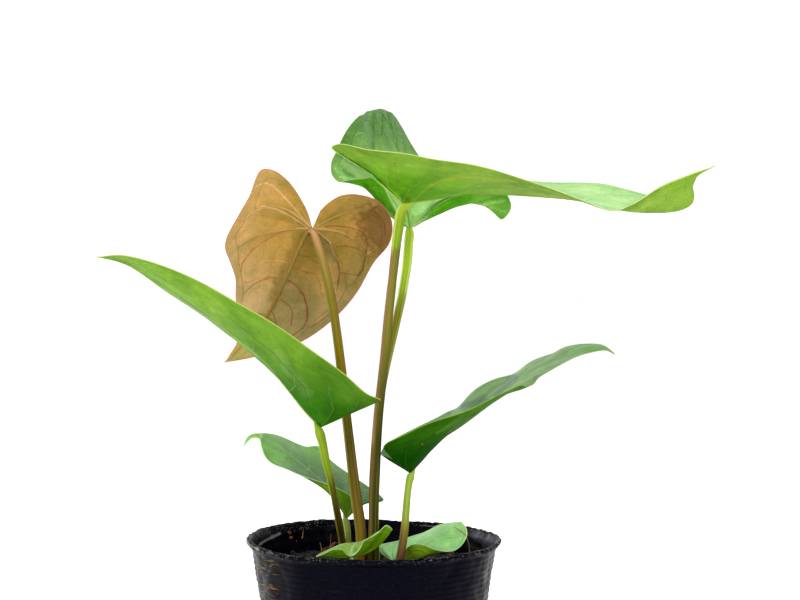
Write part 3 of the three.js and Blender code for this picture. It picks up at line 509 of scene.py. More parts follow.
        ([(-45, 127.2), (-38.5, 118.1)], 2.5, (146, 204, 112), 0.5),
        ([(-55.9, 126.2), (-49.7, 130.8)], 2.3, (148, 204, 70), 0.9),
        ([(-48.5, 131.5), (-48.4, 126.2)], 0.3, (226, 240, 176), 0.9),
      ],
      "under": [
        ([(-27.6, 113.3), (-19.5, 108.1)], 1, (83, 89, 30), 0.8),
        ([(-28.5, 114.6), (-19.3, 111.4)], 0.3, (43, 55, 17), 0.6),
        ([(-15.7, 105.5), (-12.6, 96.9)], 1, (93, 122, 52), 0.7),
      ],
    },
    "stalk_colours": [(78, (142, 159, 60)), (96, (133, 149, 60))],
    # Both pale bands are painted light.
    "stripes_and_painted_light": [(-150, 32, (181, 197, 116), 0.6, 300), (-70, 9, (176, 183, 135), 0.5, 300)],
  },
  "right": {
    "face": [-0.2, -0.2, 0.96],
    "wave": [0.4, 4],
    "stalk": [
      [14.6, -10.2, 116.2, 1.4], [14.1, -12, 112.1, 1.3], [13.2, -15, 102.7, 1.4],
      [12.7, -17, 96.5, 1.5], [11, -19.6, 86, 1.6], [7.5, -15.8, 72, 1.7], [3.8, -11.6, 57, 1.7],
    ],
    "rib": [
      [14.7, -10, 118.6], [17.4, -10, 121.2], [21, -9, 125], [26.8, -8, 131.6], [35.1, -6, 136.9],
      [44.6, -3, 143.6], [56.7, 0, 153], [66.4, 2, 159.4], [79.4, 4, 165.6], [89.9, 5, 168.8],
      [95.4, 5.5, 168.8], [100.2, 6, 166.2],
    ],
    "near": [
      [10, -15, 122.7, 0], [6.4, -20, 126.6, 0], [4.2, -25, 130.6, 0], [5.8, -28, 133.1, 0],
      [9.6, -31, 135.5, -1], [18.7, -33, 139.7, -2], [32.7, -32, 144.4, -2], [47.2, -28, 150.6, -1],
      [55.3, -25, 153.7, 0], [59.7, -22, 155.3, 0], [61.4, -20.5, 154.9, 0], [64.2, -20, 155.5, 0],
      [67, -18, 158.6, 0],
      [78.2, -10, 163.5, 0], [90.3, 1, 167.6, 0], [96.5, 4.8, 168, 0],
    ],
    "far": [
      [10, -4, 122.2, 0], [5.8, 1, 123.4, 0], [2.9, 5, 124.2, 0], [3.4, 10.5, 126.2, 0],
      [4.6, 14.5, 128, 0], [9.5, 18, 130, 0], [16.8, 21, 133, 0], [25.5, 23.5, 137.4, 0],
      [31, 24.5, 140.6, 0], [35, 25, 142.2, 0],
      [42, 26, 148.6, 0], [50.5, 26.5, 153.6, 0], [56, 26.5, 155.6, 0], [59, 26, 156.6, 0],
      [66.4, 24, 161.8, 0], [72.5, 22.5, 164, 0], [75.6, 21.5, 165, 0], [80.8, 18.5, 168.2, 0],
      [87.9, 15, 170.2, 0],
      [95.6, 9.5, 169.8, 0],
    ],
    "basal": [0.27, 0.27],
    "veins": [0.1, 0.25, 0.38, 0.5, 0.62, 0.74, 0.86],
    "curl": 0.12, "quilt": 0.35, "ridge": 0.32,
    "colours": {
      "upper": [(73, 117, 58), (99, 137, 68), (70, 125, 70), 0.5],
      "under": [(12, 66, 0), (67, 113, 7), (81, 127, 34), 0.12],
      "edge": (120, 152, 62), "rib": (76, 119, 34),
    },
    "spots": {
      "under": [([19.6, -20, 132.2], 0.9, (200, 96, 10), 0.9), ([15.8, -10, 119.6], 1.2, (8, 24, 2), 0.85)],
    },
    "streaks_and_painted_light": {
      "upper": [
        ([(37.2, 143.3), (46.4, 147.2)], 1.3, (42, 80, 44), 0.7),
        ([(50.4, 149.2), (59.5, 156.5)], 0.7, (42, 80, 42), 0.7),
        ([(66.1, 157.2), (74, 160.8)], 1.1, (40, 84, 36), 0.7),
        ([(54.2, 147.2), (66, 155.2)], 0.5, (120, 143, 111), 0.6),
        ([(82.4, 167.1), (95.8, 169)], 1.7, (94, 150, 61), 0.5),
      ],
      "under": [
        ([(25.9, 136.4), (36, 144)], 0.7, (90, 124, 56), 0.35),
        ([(31, 136.4), (49.9, 148.4)], 0.8, (90, 124, 58), 0.35),
      ],
    },
    "stalk_colours": [(80, (82, 57, 34)), (88, (97, 69, 36)), (96, (118, 104, 34)),
                      (101, (132, 149, 51)), (118, (138, 164, 61))],
    # The pale band on the left is painted light.
    "stripes_and_painted_light": [(-165, 34, (100, 68, 58), 0.7, 97), (-165, 26, (150, 161, 99), 0.6, 300)],
  },
  "small_front": {
    "face": [0, -0.4, 0.92],
    "wave": [0.2, 3],
    "stalk": [
      [-8.5, -26.1, 85, 1.1], [-8, -24, 82, 1.1], [-6.4, -19.5, 72, 1.3], [-3.6, -13, 57, 1.5],
    ],
    "rib": [[-8.7, -27, 87.3], [-8.6, -23, 88.7], [-7.9, -18, 89.8], [-6.7, -14, 90.2], [-5.2, -10.4, 89.8]],
    "near": [
      [-12.3, -31, 90.6, -1], [-15.9, -32, 90.5, -1.5], [-20, -30, 88.6, -2], [-22.9, -26, 86.7, -1],
      [-17.9, -20, 88.8, -1], [-12.4, -16, 90.1, 0], [-8.4, -12.6, 90.2, 0],
    ],
    "far": [
      [-3.7, -31, 93.7, -1.5], [1.7, -30, 96.9, -3], [5.1, -27, 99.4, -4], [7.7, -23, 97.2, -4],
      [4.7, -18, 96, -2], [1, -15, 94.5, -1], [-2.6, -12, 91.6, 0],
    ],
    "basal": [0.5, 0.55],
    "veins": [0.12, 0.28, 0.45, 0.7],
    "curl": 0.1, "quilt": 0.2, "ridge": 0.28,
    "colours": {
      "upper": [(118, 153, 57), (136, 166, 68), (180, 220, 150), 0.4],
      "under": [(110, 155, 4), (119, 206, 36), (110, 165, 60), 0.4],
      "edge": (178, 216, 140), "rib": (110, 165, 60),
    },
    "stalk_colours": [(76, (92, 92, 41)), (87, (126, 152, 58))],
    # The pale band on the left is painted light.
    "stripes_and_painted_light": [(-160, 40, (161, 169, 101), 0.5, 300)],
  },
  "small_right": {
    "face": [0, -0.4, 0.92],
    "wave": [0.2, 3],
    "stalk": [[7.3, -3.3, 78.9, 1.1], [6.8, -3.5, 74, 1.2], [6.2, -3.5, 64, 1.4], [6.1, -3.5, 58, 1.5]],
    "rib": [
      [7.5, -3, 81.2], [14.9, -4, 85.3], [21.9, -5, 89.1], [27.3, -6, 92.7], [31, -7, 95.5], [36.3, -8, 97.9],
    ],
    "near": [
      [10, -8, 81.8, -0.5], [12, -12, 84.6, -1.5], [14.1, -15, 89, -3], [16.9, -17, 90.5, -4],
      [20.9, -19, 90.1, -4], [24.6, -20, 88.8, -3], [29.4, -20, 88, -1], [33.1, -19, 88.2, 0],
      [36, -17, 89.9, 0], [38.2, -13, 93.4, 0], [37.9, -10, 96.2, 0],
    ],
    "far": [
      [4.6, 1, 81.8, 0], [2.4, 4, 83.6, 0], [2.2, 6.5, 86, 0], [5.8, 9, 86.7, 0],
      [10, 10, 87.2, 0], [15, 10, 88.9, 0], [21.7, 8, 91.7, 0], [28.1, 3, 95.3, 0],
      [32.8, -3, 97.2, 0],
    ],
    "basal": [0.35, 0.35],
    "veins": [0.12, 0.28, 0.45, 0.62, 0.8],
    "curl": 0.1, "quilt": 0.22, "ridge": 0.3,
    "colours": {
      "upper": [(141, 200, 119), (161, 204, 133), (172, 212, 160), 0.35],
      "under": [(153, 196, 35), (140, 172, 20), (140, 190, 80), 0.25],
      "edge": (176, 212, 150), "rib": (120, 175, 70),
    },
    "spots": {
      "upper": [([33.7, -12, 88.3], 0.7, (96, 30, 8), 0.9), ([3.3, 0, 86.3], 0.8, (120, 70, 30), 0.7)],
    },
    "stalk_colours": [(74, (92, 92, 41)), (81, (126, 152, 58))],
    # The pale band on the left is painted light.
    "stripes_and_painted_light": [(-160, 40, (161, 169, 101), 0.5, 300)],
  },
}


def smooth_ramp(value, low, high):
    t = min(1.0, max(0.0, (value - low) / (high - low)))
    return t * t * (3 - 2 * t)


def on_circle(radius, angle):
    return radius * math.cos(angle), radius * math.sin(angle)


def layered(spot, layers, shift=Vector(), start=0):
    """Unevenness at a spot: layers of noise, each as (how fine, how strong)."""
    return sum((strength * noise.noise(spot * scale + shift) for scale, strength in layers), start)


def facing(leaf):
    """The way that a blade's upper face looks, as a unit vector."""
    up = np.array(leaf["face"], dtype=float)
    return up / np.linalg.norm(up)


class Track:
    """A smooth curve through points, walked by its share of length, with a fourth number blended along it."""

    def __init__(self, points, samples=24):
        rows = np.array([list(p) + [0.0] * (4 - len(p)) for p in points], dtype=float)
        corners = rows[:, :3]
        first = 2 * corners[0] - corners[1]
        last = 2 * corners[-1] - corners[-2]
        padded = np.vstack([first, corners, last])
        places, marks = [], []
        for k in range(len(corners) - 1):
            p0, p1, p2, p3 = padded[k:k + 4]
            steps = [max(1e-6, np.linalg.norm(b - a) ** 0.5) for a, b in ((p0, p1), (p1, p2), (p2, p3))]
            s1 = ((p1 - p0) / steps[0] - (p2 - p0) / (steps[0] + steps[1]) + (p2 - p1) / steps[1]) * steps[1]
            s2 = ((p2 - p1) / steps[1] - (p3 - p1) / (steps[1] + steps[2]) + (p3 - p2) / steps[2]) * steps[1]
            for t in np.linspace(0, 1, samples, endpoint=False):
                places.append(
                    p1 + s1 * t + (3 * (p2 - p1) - 2 * s1 - s2) * t * t + (2 * (p1 - p2) + s1 + s2) * t ** 3
                )
                marks.append(k + t)
        places.append(corners[-1])
        marks.append(len(corners) - 1)
        self.places = np.array(places)
        self.extras = np.interp(marks, np.arange(len(rows)), rows[:, 3])
        lengths = np.linalg.norm(np.diff(self.places, axis=0), axis=1)
        self.run = np.concatenate([[0], np.cumsum(lengths)])
        self.length = self.run[-1]

    def at(self, share):
        return np.array([np.interp(share * self.length, self.run, self.places[:, axis]) for axis in range(3)])

    def extra(self, share):
        return float(np.interp(share * self.length, self.run, self.extras))

    def along(self, share):
        step = self.at(min(1, share + 0.005)) - self.at(max(0, share - 0.005))
        return step / np.linalg.norm(step)


# Handling of pieces


def select_only(*pieces):
    """Deselects everything else, so that an operator acts on these pieces alone."""
    bpy.ops.object.select_all(action="DESELECT")
    for piece in pieces:
        piece.select_set(True)
    if pieces:
        bpy.context.view_layer.objects.active = pieces[0]


def begin(name, add, **settings):
    """Adds a primitive with nothing else selected, to be shaped into the named piece."""
    select_only()
    add(**settings)
    piece = bpy.context.object
    piece.name = name
    return piece


def edit_all():
    """Opens the active piece for editing, with all of it selected."""
    bpy.ops.object.mode_set(mode="EDIT")
    bpy.ops.mesh.select_all(action="SELECT")


def draw_out(level, widening):
    """Extrudes the selected ring to a level in millimetres, widened or narrowed about the axis."""
    bpy.ops.mesh.extrude_region_move()
    bpy.ops.transform.resize(value=(widening, widening, 0), center_override=(0, 0, level * MM))


def end_facing_out():
    """Turns all faces of the edited piece outwards and ends its editing."""
    bpy.ops.mesh.select_all(action="SELECT")
    bpy.ops.mesh.normals_make_consistent(inside=False)
    bpy.ops.object.mode_set(mode="OBJECT")


def joined(name, pieces):
    select_only(*pieces)
    bpy.ops.object.join()
    piece = bpy.context.object
    piece.name = name
    piece.data.name = name
    return piece


def apply_modifier(piece, kind, **settings):
    select_only(piece)
    modifier = piece.modifiers.new(kind.lower(), kind)
    for key, value in settings.items():
        setattr(modifier, key, value)
    bpy.ops.object.modifier_apply(modifier=modifier.name)


def set_materials(piece, *materials):
    piece.data.materials.clear()
    for material in materials:
        piece.data.materials.append(material)


def finish_piece(piece, degrees, slot, *nodes):
    """Smooths a piece, and says what it rides on and the nodes that it stands for. The slot is not used."""
    select_only(piece)
    bpy.ops.object.shade_smooth_by_angle(angle=math.radians(degrees))
    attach(piece, "root")
    if nodes:
        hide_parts(*nodes)


def read_places(piece):
    """The places of a piece's vertices, as rows of x, y and z."""
    places = np.zeros(len(piece.data.vertices) * 3)
    piece.data.vertices.foreach_get("co", places)
    return places.reshape(-1, 3)


def keep_numbers(piece, name, values, kind="FLOAT"):
    """Stores one number or vector for each vertex, for the materials to read."""
    attribute = piece.data.attributes.new(name, kind, "POINT")
    attribute.data.foreach_set("value" if kind == "FLOAT" else "vector", np.ravel(values))


# Node trees


def paint(red, green, blue):
    """A colour as an eye reads it on a screen, 0 to 255, turned into light."""
    def light(value):
        value = value / 255
        return value / 12.92 if value <= 0.04045 else ((value + 0.055) / 1.055) ** 2.4
    return (light(red), light(green), light(blue), 1.0)


class Value:
    """A number or colour that changes over a surface. A sum with it adds a node to its tree."""

    def __init__(self, board, socket):
        self.board = board
        self.socket = socket

    def __add__(self, other):
        return self.board.math("ADD", self, other)

    def __sub__(self, other):
        return self.board.math("SUBTRACT", self, other)

    def __rsub__(self, other):
        return self.board.math("SUBTRACT", other, self)

    def __mul__(self, other):
        return self.board.math("MULTIPLY", self, other)

    def __truediv__(self, other):
        return self.board.math("DIVIDE", self, other)

    def __abs__(self):
        return self.board.math("ABSOLUTE", self)

    def tinted(self, tint, mask):
        """This colour, with another over it where the mask is."""
        return self.board.mix(mask, self, paint(*tint))

    def scaled(self, *factors):
        """This colour multiplied by one factor for each channel."""
        return self.board.mix(1.0, self, (*factors, 1.0), blend="MULTIPLY")


class Board:
    """Adds nodes to a tree and links them, so that a material reads as a list of steps."""

    def __init__(self, tree):
        self.tree = tree

    def add(self, kind, given=None, **settings):
        """Adds a node with its settings, and feeds its inputs."""
        node = self.tree.nodes.new(kind)
        for key, value in settings.items():
            setattr(node, key, value)
        for key, value in (given or {}).items():
            self.feed(node.inputs[key], value)
        return node

    def feed(self, socket, value):
        if isinstance(value, Value):
            self.tree.links.new(value.socket, socket)
        else:
            socket.default_value = value

    def take(self, output, kind, given=None, **settings):
        """Adds a node and returns one of its outputs."""
        return Value(self, self.add(kind, given, **settings).outputs[output])

    def outputs(self, node):
        return {socket.name: Value(self, socket) for socket in node.outputs}

    def math(self, operation, *values):
        return self.take(0, "ShaderNodeMath", dict(enumerate(values)), operation=operation)

    def larger(self, first, second):
        return self.math("MAXIMUM", first, second)

    def remap(self, value, low, high, to_low=0.0, to_high=1.0, smooth=True):
        given = {"Value": value, "From Min": low, "From Max": high, "To Min": to_low, "To Max": to_high}
        kind = "SMOOTHSTEP" if smooth else "LINEAR"
        return self.take(0, "ShaderNodeMapRange", given, interpolation_type=kind)

    def mix(self, share, first, second, blend="MIX"):
        given = {0: share, 6: first, 7: second}
        return self.take(2, "ShaderNodeMix", given, data_type="RGBA", blend_type=blend)

    def noise(self, scale, detail=3.0, vector=None):
        given = {"Scale": scale, "Detail": detail, "Roughness": 0.55, "Vector": vector or self.place()}
        return self.take("Fac", "ShaderNodeTexNoise", given)

    def place(self):
        return self.take("Object", "ShaderNodeTexCoord")

    def split(self, vector):
        return list(self.outputs(self.add("ShaderNodeSeparateXYZ", {0: vector})).values())

    def uv(self, name):
        return self.split(self.take(0, "ShaderNodeUVMap", uv_map=name))[:2]

    def attribute(self, name, output="Fac"):
        return self.take(output, "ShaderNodeAttribute", attribute_name=name)

    def group(self, tree, given):
        return self.outputs(self.add("ShaderNodeGroup", given, node_tree=tree))


class Finish(Board):
    """A material, with its shader's sockets set by name."""

    def __init__(self, name, roughness=0.5, specular=0.5):
        self.material = bpy.data.materials.new(name)
        self.material.use_nodes = True
        super().__init__(self.material.node_tree)
        self.set("Roughness", roughness)
        self.set("Specular IOR Level", specular)

    def set(self, label, value):
        self.feed(self.tree.nodes["Principled BSDF"].inputs[label], value)

    def bump(self, height, strength, distance):
        given = {"Strength": strength, "Distance": distance * MM, "Height": height}
        self.set("Normal", self.take(0, "ShaderNodeBump", given))


def new_group(name, inputs, outputs):
    """A shader node group with float sockets; inputs gives each its first value."""
    group = bpy.data.node_groups.new(name, "ShaderNodeTree")
    for label, value in inputs.items():
        socket = group.interface.new_socket(label, in_out="INPUT", socket_type="NodeSocketFloat")
        socket.default_value = value
    for label in outputs:
        group.interface.new_socket(label, in_out="OUTPUT", socket_type="NodeSocketFloat")
    board = Board(group)
    given = board.outputs(board.add("NodeGroupInput"))
    result = board.add("NodeGroupOutput").inputs
    return group, board, given, result


def make_venation():
    """Leaf veins: side veins at whole numbers of the first map, the vein that loops along the margin, rungs
    between the side veins, a fine net, the quilting between veins and the thin line of the margin."""
    inputs = {"Vein Width": 0.3, "Wander": 0.1}
    group, board, given, result = new_group("venation", inputs, ["Veins", "Net", "Quilt", "Margin"])
    phase, out = board.uv("veins")
    spacing, width = board.uv("scale")
    spacing = spacing * MAP_SPAN
    width = width * MAP_SPAN
    wobble = board.noise(110, 2) - 0.5
    phase = wobble * given["Wander"] + phase
    swell = abs(board.math("SINE", phase * math.pi))

    loop_place = swell * LOOP_SWELL + COLLECTIVE_VEIN
    inside = board.math("LESS_THAN", out, loop_place)
    taper = board.remap(out, 0.0, COLLECTIVE_VEIN, 1.15, 0.5, smooth=False)
    side_width = given["Vein Width"] * taper
    off_side = abs(board.math("FRACT", phase + 0.5) - 0.5) * spacing
    side = board.remap(off_side, side_width * 0.4, side_width * 1.7, 1.0, 0.0) * inside
    rib_width = given["Vein Width"] * 2.2
    rib = board.remap(out * width, rib_width * 0.5, rib_width, 1.0, 0.0)
    loop = board.remap(abs(out - loop_place) * width, 0.08, 0.45, 0.75, 0.0)
    board.feed(result["Veins"], board.larger(board.larger(side, rib), loop))

    chance = board.take(
        "Value", "ShaderNodeTexWhiteNoise", {"W": board.math("FLOOR", phase)}, noise_dimensions="1D"
    )
    slant = board.math("FRACT", phase) * 0.7
    rung = out * width / RUNG_STEP + chance + slant + wobble * 1.6
    off_rung = abs(board.math("FRACT", rung) - 0.5) * RUNG_STEP
    rungs = board.remap(off_rung, 0.05, 0.38, 0.85, 0.0) * inside
    cells = board.take(
        "Distance", "ShaderNodeTexVoronoi", {"Scale": 380, "Vector": board.place()},
        feature="DISTANCE_TO_EDGE"
    )
    board.feed(result["Net"], board.larger(rungs, board.remap(cells, 0.0, 0.1, 0.5, 0.0)))
    board.feed(result["Quilt"], swell * inside)
    board.feed(result["Margin"], board.remap((1.0 - out) * width, 0.1, 0.5, 1.0, 0.0))
    return group


def make_streak():
    """How much of a soft straight streak covers a place, seen from the front; lengths in millimetres."""
    inputs = {"From X": 0, "From Z": 0, "Along X": 1, "Along Z": 0, "Length": 1, "Half": 1}
    group, board, given, result = new_group("streak", inputs, ["Mask"])
    x, _, z = board.split(board.place())
    x = x / MM - given["From X"]
    z = z / MM - given["From Z"]
    run = x * given["Along X"] + z * given["Along Z"]
    run = board.math("MINIMUM", board.larger(run, 0.0), given["Length"])
    x = x - run * given["Along X"]
    z = z - run * given["Along Z"]
    off = board.math("SQRT", x * x + z * z) / given["Half"]
    off = off + board.remap(board.noise(300, 3), 0.3, 0.7, -0.35, 0.35)
    board.feed(result["Mask"], board.remap(off, 1.7, 0.1))
    return group


VENATION = make_venation()
STREAK = make_streak()


def draw_lines(board, ground, lines, within=1.0):
    """Draws soft lines over the ground, as far as they lie within a mask."""
    for points, half, tint, strength in lines:
        mask = 0.0
        for (x0, z0), (x1, z1) in zip(points, points[1:]):
            run = math.hypot(x1 - x0, z1 - z0)
            part = board.group(STREAK, {
                "From X": x0, "From Z": z0, "Along X": (x1 - x0) / run, "Along Z": (z1 - z0) / run,
                "Length": run, "Half": half,
            })
            mask = board.larger(mask, part["Mask"])
        ground = ground.tinted(tint, mask * within * strength)
    return ground


def draw_spots(board, ground, spots):
    """Draws round patches with ragged rims over the ground."""
    for place, radius, tint, strength in spots:
        size = radius * MM
        flat = board.take(0, "ShaderNodeMapping", {
            "Vector": board.place(), "Location": [c * MM for c in place],
            "Scale": (size, size / SPOT_DEPTH, size),
        }, vector_type="TEXTURE")
        length = board.take("Value", "ShaderNodeVectorMath", {0: flat}, operation="LENGTH")
        ragged = length + (board.noise(500, 2) - 0.5)
        ground = ground.tinted(tint, board.remap(ragged, 1.2, 0.5, 0.0, strength))
    return ground


def leaf_face(name, leaf, side, shine):
    """One face of a blade: deep colour near the stalk, light colour further out, mottling, painted shade
    along the veins, and veins.
    """
    deep, light, vein, vein_share = leaf["colours"][side]
    finish = Finish(name, specular=shine)
    pattern = finish.group(VENATION, {"Vein Width": leaf.get("vein_width", 0.4), "Wander": 0.16})
    reach = finish.attribute("reach")
    ground = finish.mix(finish.remap(reach, *leaf.get("reach", (0.12, 0.55))), paint(*deep), paint(*light))
    # Soft lines: the leaf's own marks, and on some blades painted highlights and painted shade.
    ground = draw_lines(finish, ground, leaf.get("streaks_and_painted_light", {}).get(side, []))
    for factors, scale, low, high, share in MOTTLING:
        patches = finish.remap(finish.noise(scale, 4), low, high, 0.0, share)
        ground = finish.mix(patches, ground, ground.scaled(*factors))
    # Painted shade: darker along the side veins and beyond the vein that loops by the margin, full colour
    # where the blade swells between them.
    ground = finish.mix(finish.remap(pattern["Quilt"], 0.1, 0.9), ground.scaled(0.86, 0.9, 0.84), ground)
    ground = ground.tinted(vein, pattern["Net"] * (vein_share * 0.5))
    vein_start = paint(*leaf.get("vein_start", vein))
    vein_tint = finish.mix(finish.remap(reach, 0.06, 0.36), vein_start, paint(*vein))
    colour = finish.mix(pattern["Veins"] * vein_share, ground, vein_tint)
    colour = draw_spots(finish, colour, leaf.get("spots", {}).get(side, []))
    finish.set("Base Color", colour.tinted(leaf["colours"]["edge"], pattern["Margin"] * 0.8))

    raised = side == "under"
    smooth, dull = (0.6, 0.8) if raised else (0.36, 0.5)
    finish.set("Roughness", finish.remap(finish.noise(160, 3), 0.3, 0.7, smooth, dull))
    lines = pattern["Veins"] * (1.0 if raised else -1.0)
    fine = pattern["Net"] * (0.4 if raised else -0.4)
    finish.bump(lines + fine + finish.noise(1100, 3) * 0.3, 0.7, 0.3)
    return finish.material


def edge_material(name, colour):
    """The thin pale rim of a blade."""
    finish = Finish(name, roughness=0.6, specular=0.15)
    shaded = [0.86 * c for c in colour]
    finish.set("Base Color", finish.mix(finish.noise(250, 2), paint(*shaded), paint(*colour)))
    finish.bump(finish.noise(900, 2), 0.3, 0.1)
    return finish.material


def stalk_material(name, stops, stripes_and_painted_light):
    """Skin of a stalk: colours by height, bands of its own colour and of painted light and shade, fine
    lengthwise lines.
    """
    finish = Finish(name, specular=0.06)
    around = finish.attribute("strand", "Vector")
    across, deep = finish.split(around)[:2]
    height = finish.split(finish.place())[2]
    low, high = stops[0][0], stops[-1][0]
    ramp = finish.add("ShaderNodeValToRGB", {0: finish.remap(height, low * MM, high * MM, smooth=False)})
    while len(ramp.color_ramp.elements) < len(stops):
        ramp.color_ramp.elements.new(0.5)
    for element, (z, colour) in zip(ramp.color_ramp.elements, stops):
        element.position = (z - low) / (high - low)
        element.color = paint(*colour)
    colour = Value(finish, ramp.outputs[0])
    wander = (finish.noise(2.6, 3, around) - 0.5) * 0.5
    # Bands round the stalk: its own warm colour, and painted light and painted shade on its sides.
    for degrees, half, tint, strength, top in stripes_and_painted_light:
        angle = math.radians(degrees)
        toward = across * math.cos(angle) + deep * math.sin(angle) + wander
        inside = finish.remap(toward, math.cos(math.radians(half * 1.3)), math.cos(math.radians(half * 0.7)))
        below = finish.remap(height, (top + 3) * MM, (top - 3) * MM)
        colour = colour.tinted(tint, inside * below * strength)
    darker = colour.scaled(0.72, 0.72, 0.6)
    lighter = colour.scaled(1.28, 1.24, 1.2)
    colour = finish.mix(finish.remap(finish.noise(3.4, 4, around), 0.4, 0.6), darker, colour)
    colour = finish.mix(finish.remap(finish.noise(9, 3, around), 0.48, 0.66, 0.0, 0.7), colour, lighter)
    finish.set("Base Color", colour)
    finish.bump(finish.noise(14, 3, around), 0.5, 0.12)
    return finish.material


def pot_material():
    """Black film: dust in bands round it, pale worn specks at the lip, yellow flecks of painted reflection on
    its left, glints.
    """
    finish = Finish("black_film", specular=0.03)
    place = finish.place()
    x, y, height = finish.split(place)
    stretched = finish.take(0, "ShaderNodeMapping", {"Scale": (1, 1, 9), "Vector": place})
    dust = finish.remap(finish.noise(70, 5, stretched), 0.5, 0.8, 0.0, 0.6)
    specks = finish.remap(finish.noise(1300, 3), 0.56, 0.68)
    aside = finish.remap(abs(x), 8 * MM, 26 * MM, 0.25, 1.0)
    near_lip = finish.remap(height, 86.5 * MM, 89.5 * MM) * aside
    # Painted reflection: yellow flecks on a crease at the left of the film.
    left = finish.remap(x, -36 * MM, -41 * MM) * finish.remap(y, -12 * MM, -18 * MM)
    reflected_flecks = finish.remap(finish.noise(160, 4, stretched), 0.56, 0.66) * left
    behind = finish.remap(y, 4 * MM, 12 * MM) * finish.attribute("inner")
    colour = finish.mix(dust, paint(1, 1, 10), paint(3, 3, 17))
    colour = colour.tinted((118, 92, 16), reflected_flecks * 0.8)
    colour = colour.tinted((150, 142, 136), specks * (near_lip * 0.42 + 0.012))
    finish.set("Base Color", draw_lines(finish, colour, FILM_GLINTS, behind))
    finish.set("Roughness", finish.remap(finish.noise(120, 4), 0.35, 0.7, 0.26, 0.44))
    finish.bump(finish.noise(450, 4) * 0.4 + finish.noise(150, 4), 0.45, 0.4)
    return finish.material


def earthy_material(name, first, second, scale):
    """Rough dull matter in two shades: mix, crumbs, bark and dry fibres."""
    finish = Finish(name, roughness=0.9, specular=0.3)
    shade = finish.remap(finish.noise(scale, 4), 0.35, 0.65)
    finish.set("Base Color", finish.mix(shade, paint(*first), paint(*second)))
    finish.bump(finish.noise(scale * 4, 3) * 0.4 + finish.noise(scale, 4), 0.8, 0.6)
    return finish.material


# Blades


def lay_half(leaf, margin, share, turn, veins):
    """Places and maps of a grid laid from the rib out to one margin, which waves with the given turn."""
    rib = Track(leaf["rib"])
    border = Track(leaf[margin] + [leaf["rib"][-1]])
    up = facing(leaf)
    fan = round(ROWS * FAN_SHARE)
    amplitude, ripples = leaf["wave"]
    stations = [0.0, *veins, 1.0]
    phases = [0.5, *range(1, len(veins) + 1), len(veins) + 0.5]
    places = np.zeros((ROWS + 1, COLUMNS + 1, 3))
    maps = np.zeros((ROWS + 1, COLUMNS + 1, 4))
    for i in range(ROWS + 1):
        k = max(0, i - fan) / (ROWS - fan)
        u = share * i / fan if i < fan else share + (1 - share) * k
        start = rib.at(k)
        end = border.at(u)
        width = np.linalg.norm(end - start)
        forward = rib.along(k)
        row = i / ROWS
        bow = ROW_BOW * width * smooth_ramp(row, FAN_SHARE, FAN_SHARE + BOW_BLEND)
        for j in range(COLUMNS + 1):
            r = j / COLUMNS
            hump = 4 * r * (1 - r)
            ripple = amplitude * r * r * math.sin(2 * math.pi * ripples * u + turn)
            sweep = row - leaf["curl"] * smooth_ramp(row, 0, SWEEP_BLEND) * r * r
            phase = float(np.interp(sweep, stations, phases))
            pinch = math.sin(math.pi * min(1, r / COLLECTIVE_VEIN)) ** 0.8
            pinch *= min(1, width / QUILT_FULL_WIDTH)
            quilt = leaf["quilt"] * pinch * abs(math.sin(math.pi * phase)) ** 0.7
            lift = hump * border.extra(u) + ripple + quilt
            places[i, j] = start + (end - start) * r + up * lift - forward * (hump * bow)
            maps[i, j] = (phase, r, 0, width)
    along = np.linalg.norm(np.gradient(places, axis=0), axis=2)
    turned = np.abs(np.gradient(maps[:, :, 0], axis=0))
    maps[:, :, 2] = along / np.maximum(turned, 1e-3)
    return places, maps


def blade_half(leaf, name, margin, share, turn):
    """Half of a blade as a mesh, with its own maps for the veins and a weight that thins its margin."""
    places, maps = lay_half(leaf, margin, share, turn, leaf.get(f"{margin}_veins", leaf["veins"]))
    piece = begin(
        f"{name}_{margin}", bpy.ops.mesh.primitive_grid_add,
        x_subdivisions=ROWS, y_subdivisions=COLUMNS, size=1
    )
    mesh = piece.data
    grid = read_places(piece)
    rows = np.rint((grid[:, 0] + 0.5) * ROWS).astype(int)
    columns = np.rint((grid[:, 1] + 0.5) * COLUMNS).astype(int)
    mesh.vertices.foreach_set("co", (places[rows, columns] * MM).ravel())
    corners = np.zeros(len(mesh.loops), dtype=int)
    mesh.loops.foreach_get("vertex_index", corners)
    found = maps[rows[corners], columns[corners]]
    while mesh.uv_layers:
        mesh.uv_layers.remove(mesh.uv_layers[0])
    mesh.uv_layers.new(name="veins").data.foreach_set("uv", found[:, :2].ravel())
    mesh.uv_layers.new(name="scale").data.foreach_set("uv", (found[:, 2:] / MAP_SPAN).ravel())
    mesh.update()
    body = piece.vertex_groups.new(name="body")
    for j in range(COLUMNS + 1):
        weight = 1 - smooth_ramp(j / COLUMNS, THINNING_START, 1)
        body.add([int(k) for k in np.flatnonzero(columns == j)], weight, "REPLACE")
    row, column = ROWS // 2, COLUMNS // 2
    middle = places[row, column]
    normal = np.cross(places[row + 1, column] - middle, places[row, column + 1] - middle)
    if normal @ facing(leaf) < 0:
        mesh.flip_normals()
    return piece


def rib_ridge(leaf, name):
    """The midrib standing out below the blade, thick at the stalk and fading to the tip."""
    rib = Track(leaf["rib"])
    points = []
    for share in np.linspace(0, RIDGE_END, RIDGE_POINTS):
        radius = leaf["ridge"] * (1 - share) ** 0.7 + RIDGE_TIP_RADIUS
        points.append([*(rib.at(share) - facing(leaf) * radius * 0.3), radius])
    return strand(name, points, RIDGE_SIDES)


